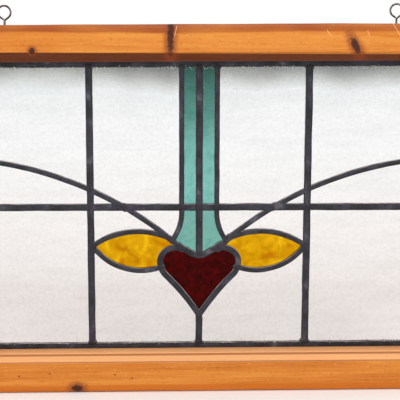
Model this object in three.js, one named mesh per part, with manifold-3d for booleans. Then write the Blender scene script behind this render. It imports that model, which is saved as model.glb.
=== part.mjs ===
// A leaded light of about 1930 in a pine sash, made to hang from two screw eyes.
//
// Everything is drawn face on, in millimetres: x runs to the right, y up and z towards the
// viewer. The last lines turn the drawing upright, so that +Z is up and the front looks
// along -Y. The origin is midway between the tops of the two eyes' openings, where it hangs.

import * as THREE from 'three';
import { mergeVertices } from 'three/addons/utils/BufferGeometryUtils.js';
import Module from 'manifold-3d';

const wasm = await Module();
wasm.setup();

// ------------------------------------------------------------------ driving dimensions

const GAP = 0.3;                      // air between two pieces that touch
const CHORD_ERROR = 0.08;             // how far a straight chord may leave its arc

// The panel's drawing has its zero where the crossbar meets the axis
const BAY = 114.3;                    // from the axis to an upright, and on to the border
const SIGHT_HALF_WIDTH = 2 * BAY;     // to the inner edge of the border lead
const SIGHT_HALF_HEIGHT = 146.7;
const COLUMN_HALF_WIDTH = 18.5;       // from the axis to the lead on each side of the column
const GLASS_THICKNESS = 3;

// Lead cames
const WIDE_CAME = 7.3;
const NARROW_CAME = 5.4;
const HEART_CAME = 6.4;
const BORDER_CAME = 12.7;
const CAME_DEPTH = 6;                 // over both flanges
const CAME_CHANNEL = 3.6;             // between the flanges
const CAME_WEB = 1.2;
const CAME_CROWN = 0.6;               // how much a flange's edges lie below its middle

// Sash
const SASH_WIDTH = 38.1;              // of the top rail and the stiles, seen face on
const BOTTOM_RAIL_WIDTH = 40.5;
const SASH_DEPTH = 44.5;
const BORDER_SHOWN = 5.7;             // border lead seen between glass and sash
const LIP_DEPTH = 25;                 // from the front face back to the panel
const MOULDING_WIDTH = 8;             // from the opening out to the flat face
const QUIRK = 1;                      // sunk line along each side of the moulding
const MOULDING_DEPTH = 8.5;
const MOULDING_STEP = 1.5;            // flat between the moulding and the opening
const WORN_EDGE = 7.2;                // width of the rounded outer edge

// Glazing beads behind the panel
const BEAD_DEPTH = 12;
const BEAD_ROUND = 3;
const BEAD_OVER_LEAD = 1;             // how far a bead stands in past the sash's opening

// Screw eyes
const EYE_WIRE = 1;                   // radius
const EYE_RING = 6.5;                 // radius to the middle of the wire
const EYE_CLOSING_ANGLE = THREE.MathUtils.degToRad(52);
const EYES = {
  left: { x: -198, stand: 17.6, turn: THREE.MathUtils.degToRad(22) },
  right: { x: 202, stand: 21.3, turn: THREE.MathUtils.degToRad(-4) },
};
const THREAD_LENGTH = 13;
const THREAD_PITCH = 1.8;
const THREAD_CREST = 1.35;
const THREAD_ROOT = 1;

// ------------------------------------------------------------------ worked out from them

const OPENING_HALF_WIDTH = SIGHT_HALF_WIDTH + BORDER_SHOWN;
const OPENING_HALF_HEIGHT = SIGHT_HALF_HEIGHT + BORDER_SHOWN;
const SASH_HALF_WIDTH = OPENING_HALF_WIDTH + SASH_WIDTH;
const SASH_TOP = OPENING_HALF_HEIGHT + SASH_WIDTH;
const SASH_BOTTOM = -OPENING_HALF_HEIGHT - BOTTOM_RAIL_WIDTH;
const PANEL_HALF_WIDTH = SIGHT_HALF_WIDTH + BORDER_CAME;
const PANEL_HALF_HEIGHT = SIGHT_HALF_HEIGHT + BORDER_CAME;
const REBATE = BORDER_CAME - BORDER_SHOWN + GAP;  // from the opening out to the rebate's wall
const FRONT = SASH_DEPTH / 2;
const PANEL_Z = FRONT - LIP_DEPTH - GAP - CAME_DEPTH / 2;
const GLASS_INSET = CAME_WEB / 2 + GAP;
const BORDER_WEB_X = SIGHT_HALF_WIDTH + BORDER_CAME / 2;
const BORDER_WEB_Y = SIGHT_HALF_HEIGHT + BORDER_CAME / 2;

const point = (x, y) => new THREE.Vector2(x, y);
const circle = (x, y, radius) => ({ centre: point(x, y), radius });

// ------------------------------------------------------------------ lines of the design

// Right half of the design. The sweep is one long arc from the side border to the heart.
const SWEEP = circle(270.4, -323.9, 376.2);
const LEAF_TOP = circle(65.3, -106.3, 80.3);
const LEAF_BOTTOM = circle(61.5, -5.3, 62.7);
const FLARE_START = -5.4;
const FLARE_RADIUS = 50.3;
const FLARE = circle(COLUMN_HALF_WIDTH + FLARE_RADIUS, FLARE_START, FLARE_RADIUS);
const LEAF_SHOULDER_X = 43;           // the clear pane above the leaf ends here

const HEART_NOTCH = point(0, -51.9);
const HEART_LOBE = point(22.8, -43.2);
const HEART_SIDE = point(41.5, -57.6);
const HEART_SHOULDER = point(36.1, -72.2);
const HEART_TIP = point(0, -117);
const heartCurves = [
  new THREE.CubicBezierCurve(HEART_NOTCH, point(8.1, -51.9), point(13.7, -43.2), HEART_LOBE),
  new THREE.CubicBezierCurve(HEART_LOBE, point(33.7, -43.2), point(41.5, -49.8), HEART_SIDE),
  new THREE.CubicBezierCurve(HEART_SIDE, point(41.5, -63.6), point(39.5, -68.8), HEART_SHOULDER),
  new THREE.QuadraticBezierCurve(HEART_SHOULDER, point(13.9, -94.5), HEART_TIP),
];
const HEART_STEPS = 6;                // straight lengths along each curve of the heart

// ------------------------------------------------------------------ plane geometry

// The point of a circle at a given x, on its upper (+1) or lower (-1) half.
function onCircleAtX({ centre, radius }, x, half = 1) {
  return point(x, centre.y + half * Math.sqrt(radius ** 2 - (x - centre.x) ** 2));
}

// The point of a circle at a given y, on its right (+1) or left (-1) half.
function onCircleAtY({ centre, radius }, y, half) {
  return point(centre.x + half * Math.sqrt(radius ** 2 - (y - centre.y) ** 2), y);
}

// Both points where two circles meet, the one with the larger x first.
function circlesMeet(a, b) {
  const across = b.centre.clone().sub(a.centre);
  const apart = across.length();
  const along = (a.radius ** 2 - b.radius ** 2 + apart ** 2) / (2 * apart);
  const aside = Math.sqrt(a.radius ** 2 - along ** 2);
  across.divideScalar(apart);
  const foot = a.centre.clone().addScaledVector(across, along);
  const side = point(-across.y, across.x);
  const pair = [aside, -aside].map((length) => foot.clone().addScaledVector(side, length));
  return pair.sort((p, q) => q.x - p.x);
}

// Points along a circle from one of its points to another, the short way round.
function arc({ centre, radius }, from, to) {
  const start = from.clone().sub(centre).angle();
  let turn = to.clone().sub(centre).angle() - start;
  if (turn > Math.PI) turn -= 2 * Math.PI;
  if (turn < -Math.PI) turn += 2 * Math.PI;
  const longest = Math.sqrt(8 * radius * CHORD_ERROR);
  const steps = Math.max(1, Math.ceil(Math.abs(turn) * radius / longest));
  const points = [from];
  for (let i = 1; i < steps; i++) {
    const angle = start + turn * i / steps;
    points.push(point(Math.cos(angle), Math.sin(angle)).multiplyScalar(radius).add(centre));
  }
  points.push(to);
  return points;
}

// Where a line of points first crosses a circle, looking from one of its points on.
function crossing(points, { centre, radius }, first = 0) {
  const outside = (p) => p.distanceTo(centre) - radius;
  for (let index = first; index < points.length - 1; index++) {
    const here = outside(points[index]);
    const next = outside(points[index + 1]);
    if (here * next <= 0) {
      return { index, at: points[index].clone().lerp(points[index + 1], here / (here - next)) };
    }
  }
  throw new Error('the line never meets the circle');
}

// One line of points from several, each starting where the one before ends.
function joined(...lines) {
  const all = lines.flat();
  return all.filter((p, i) => i === 0 || p.distanceTo(all[i - 1]) > 1e-6);
}

const leftNormal = (from, to) => point(from.y - to.y, to.x - from.x).normalize();

// The way a corner moves when both lines at it move one unit to their left.
function mitre(normalBefore, normalAfter) {
  const sum = normalBefore.clone().add(normalAfter);
  return sum.divideScalar(1 + normalBefore.dot(normalAfter));
}

// The mitre direction at every point of an open or closed line.
function mitres(path, closed) {
  const count = path.length;
  return path.map((p, i) => {
    const before = closed || i > 0 ? leftNormal(path.at(i - 1), p) : null;
    const after = closed || i < count - 1 ? leftNormal(p, path[(i + 1) % count]) : null;
    return mitre(before ?? after, after ?? before);
  });
}

// The same line, moved to its left by a distance.
function offset(path, distance, closed = false) {
  const ways = mitres(path, closed);
  return path.map((p, i) => p.clone().addScaledVector(ways[i], distance));
}

// A closed outline drawn smaller all round.
function inset(outline, distance) {
  const open = outline[0].distanceTo(outline.at(-1)) > 1e-6 ? outline : outline.slice(0, -1);
  const turned = THREE.ShapeUtils.isClockWise(open) ? [...open].reverse() : open;
  return offset(turned, distance, true);
}

// ------------------------------------------------------------------ solids

// Sweeps a section along a line in the drawing's plane. The section's first number is
// measured to the left of the line and the second towards the viewer, anticlockwise. A skew
// slants an end: the end moves along the line by that much for each unit to the left.
function sweep(path, section, { closed = false, startSkew = 0, endSkew = 0 } = {}) {
  const ways = mitres(path, closed);
  const last = path.length - 1;
  const sides = section.length;
  const positions = [];
  path.forEach((p, station) => {
    const skew = station === 0 ? startSkew : station === last ? endSkew : 0;
    const along = point(ways[station].y, -ways[station].x);
    for (const [across, z] of section) {
      const x = p.x + ways[station].x * across + along.x * skew * across;
      const y = p.y + ways[station].y * across + along.y * skew * across;
      positions.push(x, y, z);
    }
  });
  const index = [];
  for (let station = 0; station < (closed ? path.length : last); station++) {
    const here = station * sides;
    const next = ((station + 1) % path.length) * sides;
    for (let side = 0; side < sides; side++) {
      const other = (side + 1) % sides;
      index.push(here + side, here + other, next + other);
      index.push(here + side, next + other, next + side);
    }
  }
  if (!closed) {
    const outline = section.map(([across, z]) => point(across, z));
    for (const [a, b, c] of THREE.ShapeUtils.triangulateShape(outline, [])) {
      index.push(c, b, a);
      index.push(last * sides + a, last * sides + b, last * sides + c);
    }
  }
  const geometry = new THREE.BufferGeometry();
  geometry.setAttribute('position', new THREE.Float32BufferAttribute(positions, 3));
  geometry.setIndex(index);
  return geometry;
}

// A flat plate of any outline, centred on the drawing's plane.
function plate(outline, thickness) {
  const geometry = new THREE.ExtrudeGeometry(new THREE.Shape(outline), {
    depth: thickness,
    bevelEnabled: false,
  });
  geometry.translate(0, 0, -thickness / 2);
  return geometry;
}

const block = (x0, x1, y0, y1, depth) => plate(
  [point(x0, y0), point(x1, y0), point(x1, y1), point(x0, y1)],
  depth,
);

// Only positions, each kept once, so that the surface is closed.
function sealed(geometry) {
  const plain = geometry.clone();
  plain.deleteAttribute('normal');
  plain.deleteAttribute('uv');
  return mergeVertices(plain, 1e-4);
}

function solid(geometry) {
  const surface = sealed(geometry);
  return new wasm.Manifold(new wasm.Mesh({
    numProp: 3,
    vertProperties: new Float32Array(surface.attributes.position.array),
    triVerts: new Uint32Array(surface.index.array),
  }));
}

function surfaceOf(manifold) {
  const { vertProperties, triVerts } = manifold.getMesh();
  const geometry = new THREE.BufferGeometry();
  geometry.setAttribute('position', new THREE.BufferAttribute(vertProperties, 3));
  geometry.setIndex(new THREE.BufferAttribute(triVerts, 1));
  return geometry;
}

// A piece with others cut out of it.
function cut(geometry, ...cutters) {
  let left = solid(geometry);
  for (const cutter of cutters) left = left.subtract(solid(cutter));
  return surfaceOf(left);
}

// The same piece on the other side of the axis.
function mirrored(geometry) {
  const surface = sealed(geometry);
  const positions = surface.attributes.position;
  for (let i = 0; i < positions.count; i++) positions.setX(i, -positions.getX(i));
  const corners = surface.index.array;
  for (let i = 0; i < corners.length; i += 3) {
    [corners[i + 1], corners[i + 2]] = [corners[i + 2], corners[i + 1]];
  }
  return surface;
}

// The four sides of a rectangle, anticlockwise, so that their left is inside.
function rectangleSides(halfWidth, halfHeight) {
  const corners = [
    point(-halfWidth, -halfHeight),
    point(halfWidth, -halfHeight),
    point(halfWidth, halfHeight),
    point(-halfWidth, halfHeight),
  ];
  return {
    bottom: [corners[0], corners[1]],
    right: [corners[1], corners[2]],
    top: [corners[2], corners[3]],
    left: [corners[3], corners[0]],
  };
}

const MITRED = { startSkew: 1, endSkew: -1 };

// Shortens a straight line at both ends.
function shortened([from, to], distance) {
  const way = to.clone().sub(from).normalize();
  return [
    from.clone().addScaledVector(way, distance),
    to.clone().addScaledVector(way, -distance),
  ];
}

// ------------------------------------------------------------------ materials

const finish = (color, roughness, metalness = 0) => new THREE.MeshStandardMaterial({
  color,
  roughness,
  metalness,
});
const pine = finish(0xe08c32, 0.45);
const bead = finish(0xc07a35, 0.6);
const lead = finish(0x44434e, 0.5, 0.8);
const wire = finish(0x5a554c, 0.35, 1);
const glassColours = {
  clear: finish(0xe9e6e2, 0.1),
  teal: finish(0x6ba593, 0.15),
  amber: finish(0xd99a05, 0.15),
  red: finish(0x4d0306, 0.12),
};

const parts = new THREE.Group();
const panel = new THREE.Group();
panel.position.z = PANEL_Z;

function add(group, name, geometry, material) {
  const mesh = new THREE.Mesh(sealed(geometry), material);
  mesh.name = name;
  group.add(mesh);
}

// One piece for each side of the axis, drawn on the right.
function addPair(stem, suffix, geometry, material) {
  add(panel, `${stem}_right${suffix}`, geometry, material);
  add(panel, `${stem}_left${suffix}`, mirrored(geometry), material);
}

// ------------------------------------------------------------------ sash

// Section of a rail or stile: out from the opening's edge, and back from the front face.
const sashSection = (width) => [
  [width, SASH_DEPTH],
  [REBATE, SASH_DEPTH],
  [REBATE, LIP_DEPTH],
  [0, LIP_DEPTH],
  [0, MOULDING_DEPTH],
  [MOULDING_STEP, MOULDING_DEPTH],
  [MOULDING_STEP, MOULDING_DEPTH - QUIRK],
  [MOULDING_WIDTH - QUIRK / 2, QUIRK],
  [MOULDING_WIDTH, QUIRK],
  [MOULDING_WIDTH, 0],
  [width - WORN_EDGE, 0],
  [width - WORN_EDGE / 2, 0.5],
  [width - WORN_EDGE / 6, 1.5],
  [width, 3.2],
].map(([outwards, back]) => [-outwards, FRONT - back]);

const openingSides = rectangleSides(OPENING_HALF_WIDTH, OPENING_HALF_HEIGHT);
const shoulderX = OPENING_HALF_WIDTH + MOULDING_WIDTH;
const THROUGH = 2 * SASH_DEPTH;       // deep enough to cut right through

// Stiles run the full height. A rail stops against them, with its moulding mitred.
function rail(side, width) {
  const stop = shoulderX - GAP;
  const beyond = SASH_HALF_WIDTH + SASH_WIDTH;
  const bar = sweep(shortened(openingSides[side], GAP), sashSection(width), MITRED);
  return cut(
    bar,
    block(stop, beyond, SASH_BOTTOM - 1, SASH_TOP + 1, THROUGH),
    block(-beyond, -stop, SASH_BOTTOM - 1, SASH_TOP + 1, THROUGH),
  );
}

function stile(way) {
  const x = way * OPENING_HALF_WIDTH;
  const inside = OPENING_HALF_HEIGHT - SASH_WIDTH;
  const inner = way * (OPENING_HALF_WIDTH - SASH_WIDTH);
  const cutters = [1, -1].map((up) => plate([
    point(way * shoulderX, up * SASH_HALF_WIDTH),
    point(way * shoulderX, up * (OPENING_HALF_HEIGHT + MOULDING_WIDTH)),
    point(inner, up * inside),
    point(inner, up * SASH_HALF_WIDTH),
  ], THROUGH));
  const upwards = [point(x, SASH_BOTTOM), point(x, SASH_TOP)];
  const path = way > 0 ? upwards : upwards.reverse();
  return cut(sweep(path, sashSection(SASH_WIDTH)), ...cutters);
}

const eyeBore = (x) => {
  const bore = new THREE.CylinderGeometry(
    THREAD_CREST + GAP,
    THREAD_CREST + GAP,
    2 * (THREAD_LENGTH + 1),
    12,
  );
  return bore.translate(x, SASH_TOP, 0);
};

const sash = new THREE.Group();
add(sash, 'top_rail', cut(
  rail('top', SASH_WIDTH),
  eyeBore(EYES.left.x),
  eyeBore(EYES.right.x),
), pine);
add(sash, 'bottom_rail', rail('bottom', BOTTOM_RAIL_WIDTH), pine);
add(sash, 'left_stile', stile(-1), pine);
add(sash, 'right_stile', stile(1), pine);

// Beads close the rebate behind the panel.
const beadFront = LIP_DEPTH + CAME_DEPTH + 2 * GAP;
const beadBack = beadFront + BEAD_DEPTH;
const beadSection = [
  [GAP - REBATE, beadBack],
  [BEAD_OVER_LEAD - BEAD_ROUND, beadBack],
  [BEAD_OVER_LEAD - BEAD_ROUND * 0.3, beadBack - BEAD_ROUND * 0.3],
  [BEAD_OVER_LEAD, beadBack - BEAD_ROUND],
  [BEAD_OVER_LEAD, beadFront],
  [GAP - REBATE, beadFront],
].map(([inwards, back]) => [inwards, FRONT - back]);
for (const [side, path] of Object.entries(openingSides)) {
  add(sash, `glazing_bead_${side}`, sweep(shortened(path, GAP / 2), beadSection, MITRED), bead);
}

// ------------------------------------------------------------------ screw eyes

// Drawn with zero where the screw enters the rail.
function screwEye(stand) {
  const ringY = stand - EYE_WIRE - EYE_RING;
  const neckY = ringY - EYE_RING / Math.sin(EYE_CLOSING_ANGLE);
  const ring = new THREE.EllipseCurve(
    0,
    ringY,
    EYE_RING,
    EYE_RING,
    -EYE_CLOSING_ANGLE,
    Math.PI + EYE_CLOSING_ANGLE,
  );
  const wireSides = 8;
  const wireSection = Array.from({ length: wireSides }, (_, i) => {
    const angle = 2 * Math.PI * i / wireSides;
    return [EYE_WIRE * Math.cos(angle), EYE_WIRE * Math.sin(angle)];
  });
  const loop = sweep([point(0, neckY), ...ring.getPoints(20)], wireSection, { closed: true });

  const threadEnd = -THREAD_LENGTH;
  const profile = [point(0, threadEnd), point(THREAD_ROOT * 0.6, threadEnd + 0.5)];
  for (let y = threadEnd + THREAD_PITCH; y < -THREAD_PITCH; y += THREAD_PITCH) {
    profile.push(point(THREAD_ROOT, y - THREAD_PITCH / 2));
    profile.push(point(THREAD_CREST, y));
  }
  profile.push(point(THREAD_CREST, 0));
  profile.push(point(THREAD_CREST, neckY - EYE_WIRE / 2));
  profile.push(point(THREAD_ROOT, neckY + EYE_WIRE));
  profile.push(point(0, neckY + EYE_WIRE * 1.2));
  const shank = new THREE.LatheGeometry(profile, 10);
  return surfaceOf(solid(loop).add(solid(shank)));
}

const hangingTop = (EYES.left.stand + EYES.right.stand) / 2 - 2 * EYE_WIRE;
for (const [side, { x, stand, turn }] of Object.entries(EYES)) {
  const eye = new THREE.Group();
  eye.position.set(x, SASH_TOP, 0);
  eye.rotation.y = turn;
  add(eye, `screw_eye_${side}`, screwEye(stand), wire);
  sash.add(eye);
}

// ------------------------------------------------------------------ leads

// H-shaped section of a came, with slightly crowned flanges.
function cameSection(width, across = 0) {
  const half = width / 2;
  const top = CAME_DEPTH / 2;
  const edge = top - CAME_CROWN;
  const channel = CAME_CHANNEL / 2;
  const web = CAME_WEB / 2;
  const upperRight = [
    [web, channel],
    [half, channel],
    [half, edge],
    [half * 0.45, top],
  ];
  const upperLeft = upperRight.map(([x, z]) => [-x, z]).reverse();
  const upper = [...upperRight, ...upperLeft];
  const lower = upper.map(([x, z]) => [-x, -z]);
  return [...upper, ...lower].map(([x, z]) => [x + across, z]);
}

const borderSides = rectangleSides(PANEL_HALF_WIDTH, PANEL_HALF_HEIGHT);
for (const [side, path] of Object.entries(borderSides)) {
  const section = cameSection(BORDER_CAME, BORDER_CAME / 2);
  const bar = sweep(shortened(path, GAP / 2), section, MITRED);
  add(panel, `border_lead_${side}`, bar, lead);
}

// The heart's line, from the notch round the right lobe to the tip.
const heartHalf = joined(...heartCurves.map((curve) => curve.getPoints(HEART_STEPS)));
const heartLeft = heartHalf.slice(1, -1).map((p) => point(-p.x, p.y)).reverse();
const heartLine = [...heartHalf, ...heartLeft].reverse();

const uprightMeetsSweep = onCircleAtX(SWEEP, BAY);
const borderMeetsSweep = onCircleAtX(SWEEP, BORDER_WEB_X);
const crossbarMeetsSweep = onCircleAtY(SWEEP, 0, -1);
const flareMeetsSweep = circlesMeet(SWEEP, FLARE)[1];
const heartMeetsSweep = crossing(heartHalf, SWEEP);
const heartMeetsLeafBottom = crossing(heartHalf, LEAF_BOTTOM, 2 * HEART_STEPS);
const leafTip = circlesMeet(LEAF_TOP, LEAF_BOTTOM)[0];
const leafMeetsSweep = circlesMeet(SWEEP, LEAF_TOP)[0];

const lines = {
  sweepOuter: arc(SWEEP, borderMeetsSweep, uprightMeetsSweep),
  sweepUpper: arc(SWEEP, uprightMeetsSweep, crossbarMeetsSweep),
  sweepLower: arc(SWEEP, crossbarMeetsSweep, flareMeetsSweep),
  sweepFoot: arc(SWEEP, flareMeetsSweep, heartMeetsSweep.at),
  flare: arc(FLARE, point(COLUMN_HALF_WIDTH, FLARE_START), flareMeetsSweep),
  leafTop: arc(LEAF_TOP, leafTip, leafMeetsSweep),
  leafBottom: arc(LEAF_BOTTOM, leafTip, heartMeetsLeafBottom.at),
};
const sweepInner = joined(lines.sweepUpper, lines.sweepLower, lines.sweepFoot);
const columnFlare = joined(
  [point(COLUMN_HALF_WIDTH, SIGHT_HALF_HEIGHT - GAP)],
  lines.flare,
);

// What one came keeps another out of: a band along its line, as far as given to each side.
const band = (path, left, right) => plate(
  [...offset(path, left), ...offset(path, -right).reverse()],
  THROUGH,
);
const narrowKeep = NARROW_CAME / 2 + GAP;
const heartKeep = HEART_CAME / 2 + GAP;
const wideKeep = WIDE_CAME / 2 + GAP;
const FAR = 12;                       // past any piece left on the other side
const uprightBand = block(BAY - wideKeep, BAY + wideKeep, -BAY, BAY, THROUGH);
const borderBlock = block(
  SIGHT_HALF_WIDTH - GAP,
  SIGHT_HALF_WIDTH + BAY,
  -BAY,
  BAY,
  THROUGH,
);
const heartBlock = plate(offset(heartLine, -heartKeep, true), THROUGH);

const wide = cameSection(WIDE_CAME);
const narrow = cameSection(NARROW_CAME);
const sightTop = SIGHT_HALF_HEIGHT - GAP;

const upright = sweep([point(BAY, -sightTop), point(BAY, sightTop)], wide);
addPair('upright_lead', '', upright, lead);

const fullSweep = [...lines.sweepOuter, ...sweepInner.slice(1)];
const sweepStart = onCircleAtX(SWEEP, BORDER_WEB_X + FAR);
addPair('sweep_lead', '_outer', cut(
  sweep(arc(SWEEP, sweepStart, uprightMeetsSweep), narrow),
  borderBlock,
  uprightBand,
), lead);
addPair('sweep_lead', '_inner', cut(sweep(sweepInner, narrow), uprightBand, heartBlock), lead);

const crossbar = (from, to) => sweep([point(from, 0), point(to, 0)], wide);
addPair('crossbar_lead', '_outer', crossbar(BAY + wideKeep, SIGHT_HALF_WIDTH - GAP), lead);
addPair('crossbar_lead', '_corner', cut(
  crossbar(crossbarMeetsSweep.x, BAY - wideKeep),
  band(fullSweep, narrowKeep, FAR),
), lead);
addPair('crossbar_lead', '_inner', cut(
  crossbar(COLUMN_HALF_WIDTH + narrowKeep, crossbarMeetsSweep.x),
  band(fullSweep, FAR, narrowKeep),
), lead);
addPair('crossbar_lead', '_column', crossbar(wideKeep, COLUMN_HALF_WIDTH - narrowKeep), lead);

addPair('column_lead', '', cut(
  sweep(columnFlare, narrow),
  band(sweepInner, FAR, narrowKeep),
), lead);
add(panel, 'column_lead_middle', cut(
  sweep([point(0, HEART_NOTCH.y), point(0, sightTop)], wide),
  heartBlock,
), lead);

addPair('leaf_lead', '_top', cut(
  sweep(lines.leafTop, narrow),
  uprightBand,
  band(sweepInner, narrowKeep, FAR),
  heartBlock,
), lead);
addPair('leaf_lead', '_bottom', cut(
  sweep(lines.leafBottom, narrow),
  uprightBand,
  band(lines.leafTop, narrowKeep, FAR),
  heartBlock,
), lead);

add(panel, 'heart_lead', sweep(heartLine, cameSection(HEART_CAME), { closed: true }), lead);
add(panel, 'stem_lead', cut(
  sweep([point(0, -sightTop), HEART_TIP], wide),
  heartBlock,
), lead);

// ------------------------------------------------------------------ glass

// Each pane's outline runs along the middle of the leads around it, and its edge stands
// inside their channels.
const borderTopAt = (x) => point(x, BORDER_WEB_Y);
const borderBottomAt = (x) => point(x, -BORDER_WEB_Y);
const axisAt = (y) => point(0, y);
const shoulderOnSweep = onCircleAtX(SWEEP, LEAF_SHOULDER_X);
const shoulderOnLeaf = onCircleAtX(LEAF_TOP, LEAF_SHOULDER_X);

const paneOutlines = {
  upper_outer: ['clear', [
    borderTopAt(BAY),
    ...lines.sweepOuter.toReversed(),
    borderTopAt(BORDER_WEB_X),
  ]],
  outer_wedge: ['clear', [
    ...lines.sweepOuter,
    point(BAY, 0),
    point(BORDER_WEB_X, 0),
  ]],
  lower_outer: ['clear', [
    point(BAY, 0),
    point(BORDER_WEB_X, 0),
    borderBottomAt(BORDER_WEB_X),
    borderBottomAt(BAY),
  ]],
  upper_inner: ['clear', [
    borderTopAt(COLUMN_HALF_WIDTH),
    borderTopAt(BAY),
    ...lines.sweepUpper,
    point(COLUMN_HALF_WIDTH, 0),
  ]],
  corner: ['clear', [
    ...lines.sweepUpper,
    point(BAY, 0),
  ]],
  spandrel: ['clear', [
    point(COLUMN_HALF_WIDTH, 0),
    ...lines.sweepLower,
    ...lines.flare.toReversed(),
  ]],
  over_leaf: ['clear', [
    point(BAY, 0),
    ...arc(SWEEP, crossbarMeetsSweep, shoulderOnSweep),
    ...arc(LEAF_TOP, shoulderOnLeaf, leafTip),
    point(BAY, leafTip.y),
  ]],
  leaf: ['amber', [
    ...lines.leafTop,
    ...arc(SWEEP, leafMeetsSweep, heartMeetsSweep.at),
    ...heartHalf.slice(heartMeetsSweep.index + 1, heartMeetsLeafBottom.index + 1),
    ...lines.leafBottom.toReversed(),
  ]],
  lower_inner: ['clear', [
    point(BAY, leafTip.y),
    ...lines.leafBottom,
    ...heartHalf.slice(heartMeetsLeafBottom.index + 1),
    borderBottomAt(0),
    borderBottomAt(BAY),
  ]],
  column_upper: ['teal', [
    axisAt(0),
    point(COLUMN_HALF_WIDTH, 0),
    borderTopAt(COLUMN_HALF_WIDTH),
    borderTopAt(0),
  ]],
  column_lower: ['teal', [
    axisAt(0),
    point(COLUMN_HALF_WIDTH, 0),
    ...lines.flare,
    ...lines.sweepFoot,
    ...heartHalf.slice(0, heartMeetsSweep.index + 1).reverse(),
  ]],
};

const pane = (outline) => plate(inset(joined(outline), GLASS_INSET), GLASS_THICKNESS);
for (const [place, [colour, outline]] of Object.entries(paneOutlines)) {
  addPair('glass', `_${place}`, pane(outline), glassColours[colour]);
}
add(panel, 'glass_heart', pane(heartLine), glassColours.red);

// ------------------------------------------------------------------ upright, in its place

parts.add(sash, panel);
const window = new THREE.Group();
parts.position.y = -SASH_TOP - hangingTop;
window.add(parts);
window.rotation.x = Math.PI / 2;

export default window;
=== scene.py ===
# %% [markdown]
# # A leaded light in a pine sash
#
# The object is an old English window light: panes of glass held in strips of lead, in
# a moulded pine sash that hangs from two wire eyes. Its solids are already made and
# packed. This notebook dresses them: it loads the solids as a fixed frame, then
# rebuilds each visible surface over them with the roundings, solder, cement and grain
# of the real thing.

import cmath
import math

import bmesh
import bpy
import numpy as np
from mathutils import Matrix, Vector, geometry, noise


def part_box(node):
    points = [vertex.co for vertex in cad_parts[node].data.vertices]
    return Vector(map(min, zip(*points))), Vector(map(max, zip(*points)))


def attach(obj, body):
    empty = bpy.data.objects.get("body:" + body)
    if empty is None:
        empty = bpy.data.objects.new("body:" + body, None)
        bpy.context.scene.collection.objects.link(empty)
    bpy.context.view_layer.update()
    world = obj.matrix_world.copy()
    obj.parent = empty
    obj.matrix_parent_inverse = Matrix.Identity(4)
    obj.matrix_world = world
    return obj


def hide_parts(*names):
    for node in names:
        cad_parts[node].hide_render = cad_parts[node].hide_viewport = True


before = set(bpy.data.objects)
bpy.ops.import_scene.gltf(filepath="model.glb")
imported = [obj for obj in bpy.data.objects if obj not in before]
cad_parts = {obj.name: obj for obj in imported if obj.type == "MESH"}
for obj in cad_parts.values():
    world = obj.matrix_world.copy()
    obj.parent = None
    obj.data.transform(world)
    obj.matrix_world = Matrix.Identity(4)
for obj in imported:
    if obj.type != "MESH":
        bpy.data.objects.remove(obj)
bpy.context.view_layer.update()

# %% [markdown]
# The drawing of the panel is flat, so it is easiest to work it out in a plane, in
# millimetres: one complex number is one point, with x to the right and the height
# above the crossbar as its imaginary part. Turning a direction by a quarter is then a
# multiplication by 1j. The places of the main lines could be typed in again, but read
# from the solids they can't drift away from them.

# %% Read the main measures from the solids
MM = 0.001


def middle(node):
    low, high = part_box(node)
    return (low + high) / 2


def size(node):
    low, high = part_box(node)
    return high - low


CROSSBAR_Z = middle("crossbar_lead_left_outer").z
PANEL_Y = middle("heart_lead").y
BAY = middle("upright_lead_right").x / MM
WIDE = size("upright_lead_right").x / MM
BORDER = size("border_lead_left").x / MM
SIGHT_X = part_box("border_lead_right")[0].x / MM
SIGHT_Z = (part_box("border_lead_top")[0].z - CROSSBAR_Z) / MM
SASH_LOW, SASH_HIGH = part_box("left_stile")[0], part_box("right_stile")[1]
CAME_HALF_DEPTH = size("heart_lead").y / 2 / MM
GLASS_HALF_DEPTH = size("glass_heart").y / 2 / MM
NARROW = 5.4
HEART_CAME = 6.4
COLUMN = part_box("column_lead_right")[0].x / MM + NARROW / 2
BORDER_SHOWN = 5.7
OPENING_X = SIGHT_X + BORDER_SHOWN
OPENING_Z = SIGHT_Z + BORDER_SHOWN
print(f"bay {BAY:.1f}, column {COLUMN:.1f}, sight {SIGHT_X:.1f} by {SIGHT_Z:.1f} mm")


def pair(point):
    return point.real, point.imag


def place(point, depth):
    """A plane point, depth millimetres in front of the panel's middle, as a place."""
    return Vector((point.real * MM, PANEL_Y - depth * MM, CROSSBAR_Z + point.imag * MM))


# %% [markdown]
# ## Camera
# The view is nearly straight on, from a little above the middle and a touch to the
# left. A short lens close by would show the same window, but its lines would spread;
# a long lens from a metre away keeps them nearly parallel, as they look across a
# room.

# %% Set up the camera
VIEW_DISTANCE = 1.0
LOOK_DOWN = math.radians(8.3)
LOOK_RIGHT = math.radians(2.1)
LEAN = math.radians(0.16)
LENS = 85.6
AIM = Vector((0.0007, PANEL_Y - CAME_HALF_DEPTH * MM, CROSSBAR_Z + 0.0078))

ahead = Vector((
    math.sin(LOOK_RIGHT) * math.cos(LOOK_DOWN),
    math.cos(LOOK_RIGHT) * math.cos(LOOK_DOWN),
    -math.sin(LOOK_DOWN),
))
camera = bpy.data.objects.new("camera", bpy.data.cameras.new("camera"))
camera.data.lens = LENS
camera.data.sensor_width = 36
camera.rotation_mode = "QUATERNION"
level = ahead.to_track_quat("-Z", "Y")
camera.rotation_quaternion = level @ Matrix.Rotation(LEAN, 3, "Z").to_quaternion()
camera.location = AIM - ahead * VIEW_DISTANCE
bpy.context.scene.collection.objects.link(camera)
bpy.context.scene.camera = camera
print("camera at", tuple(round(c, 4) for c in camera.location))

# %% [markdown]
# ## Light and floor
# A white world gives soft light from all round and shows white through the clear
# panes. One large lamp above the front draws the highlights and the shadow under the
# sash. Several small lamps would do it too, but they would put hard spots on the
# varnish and the glass.

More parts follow.
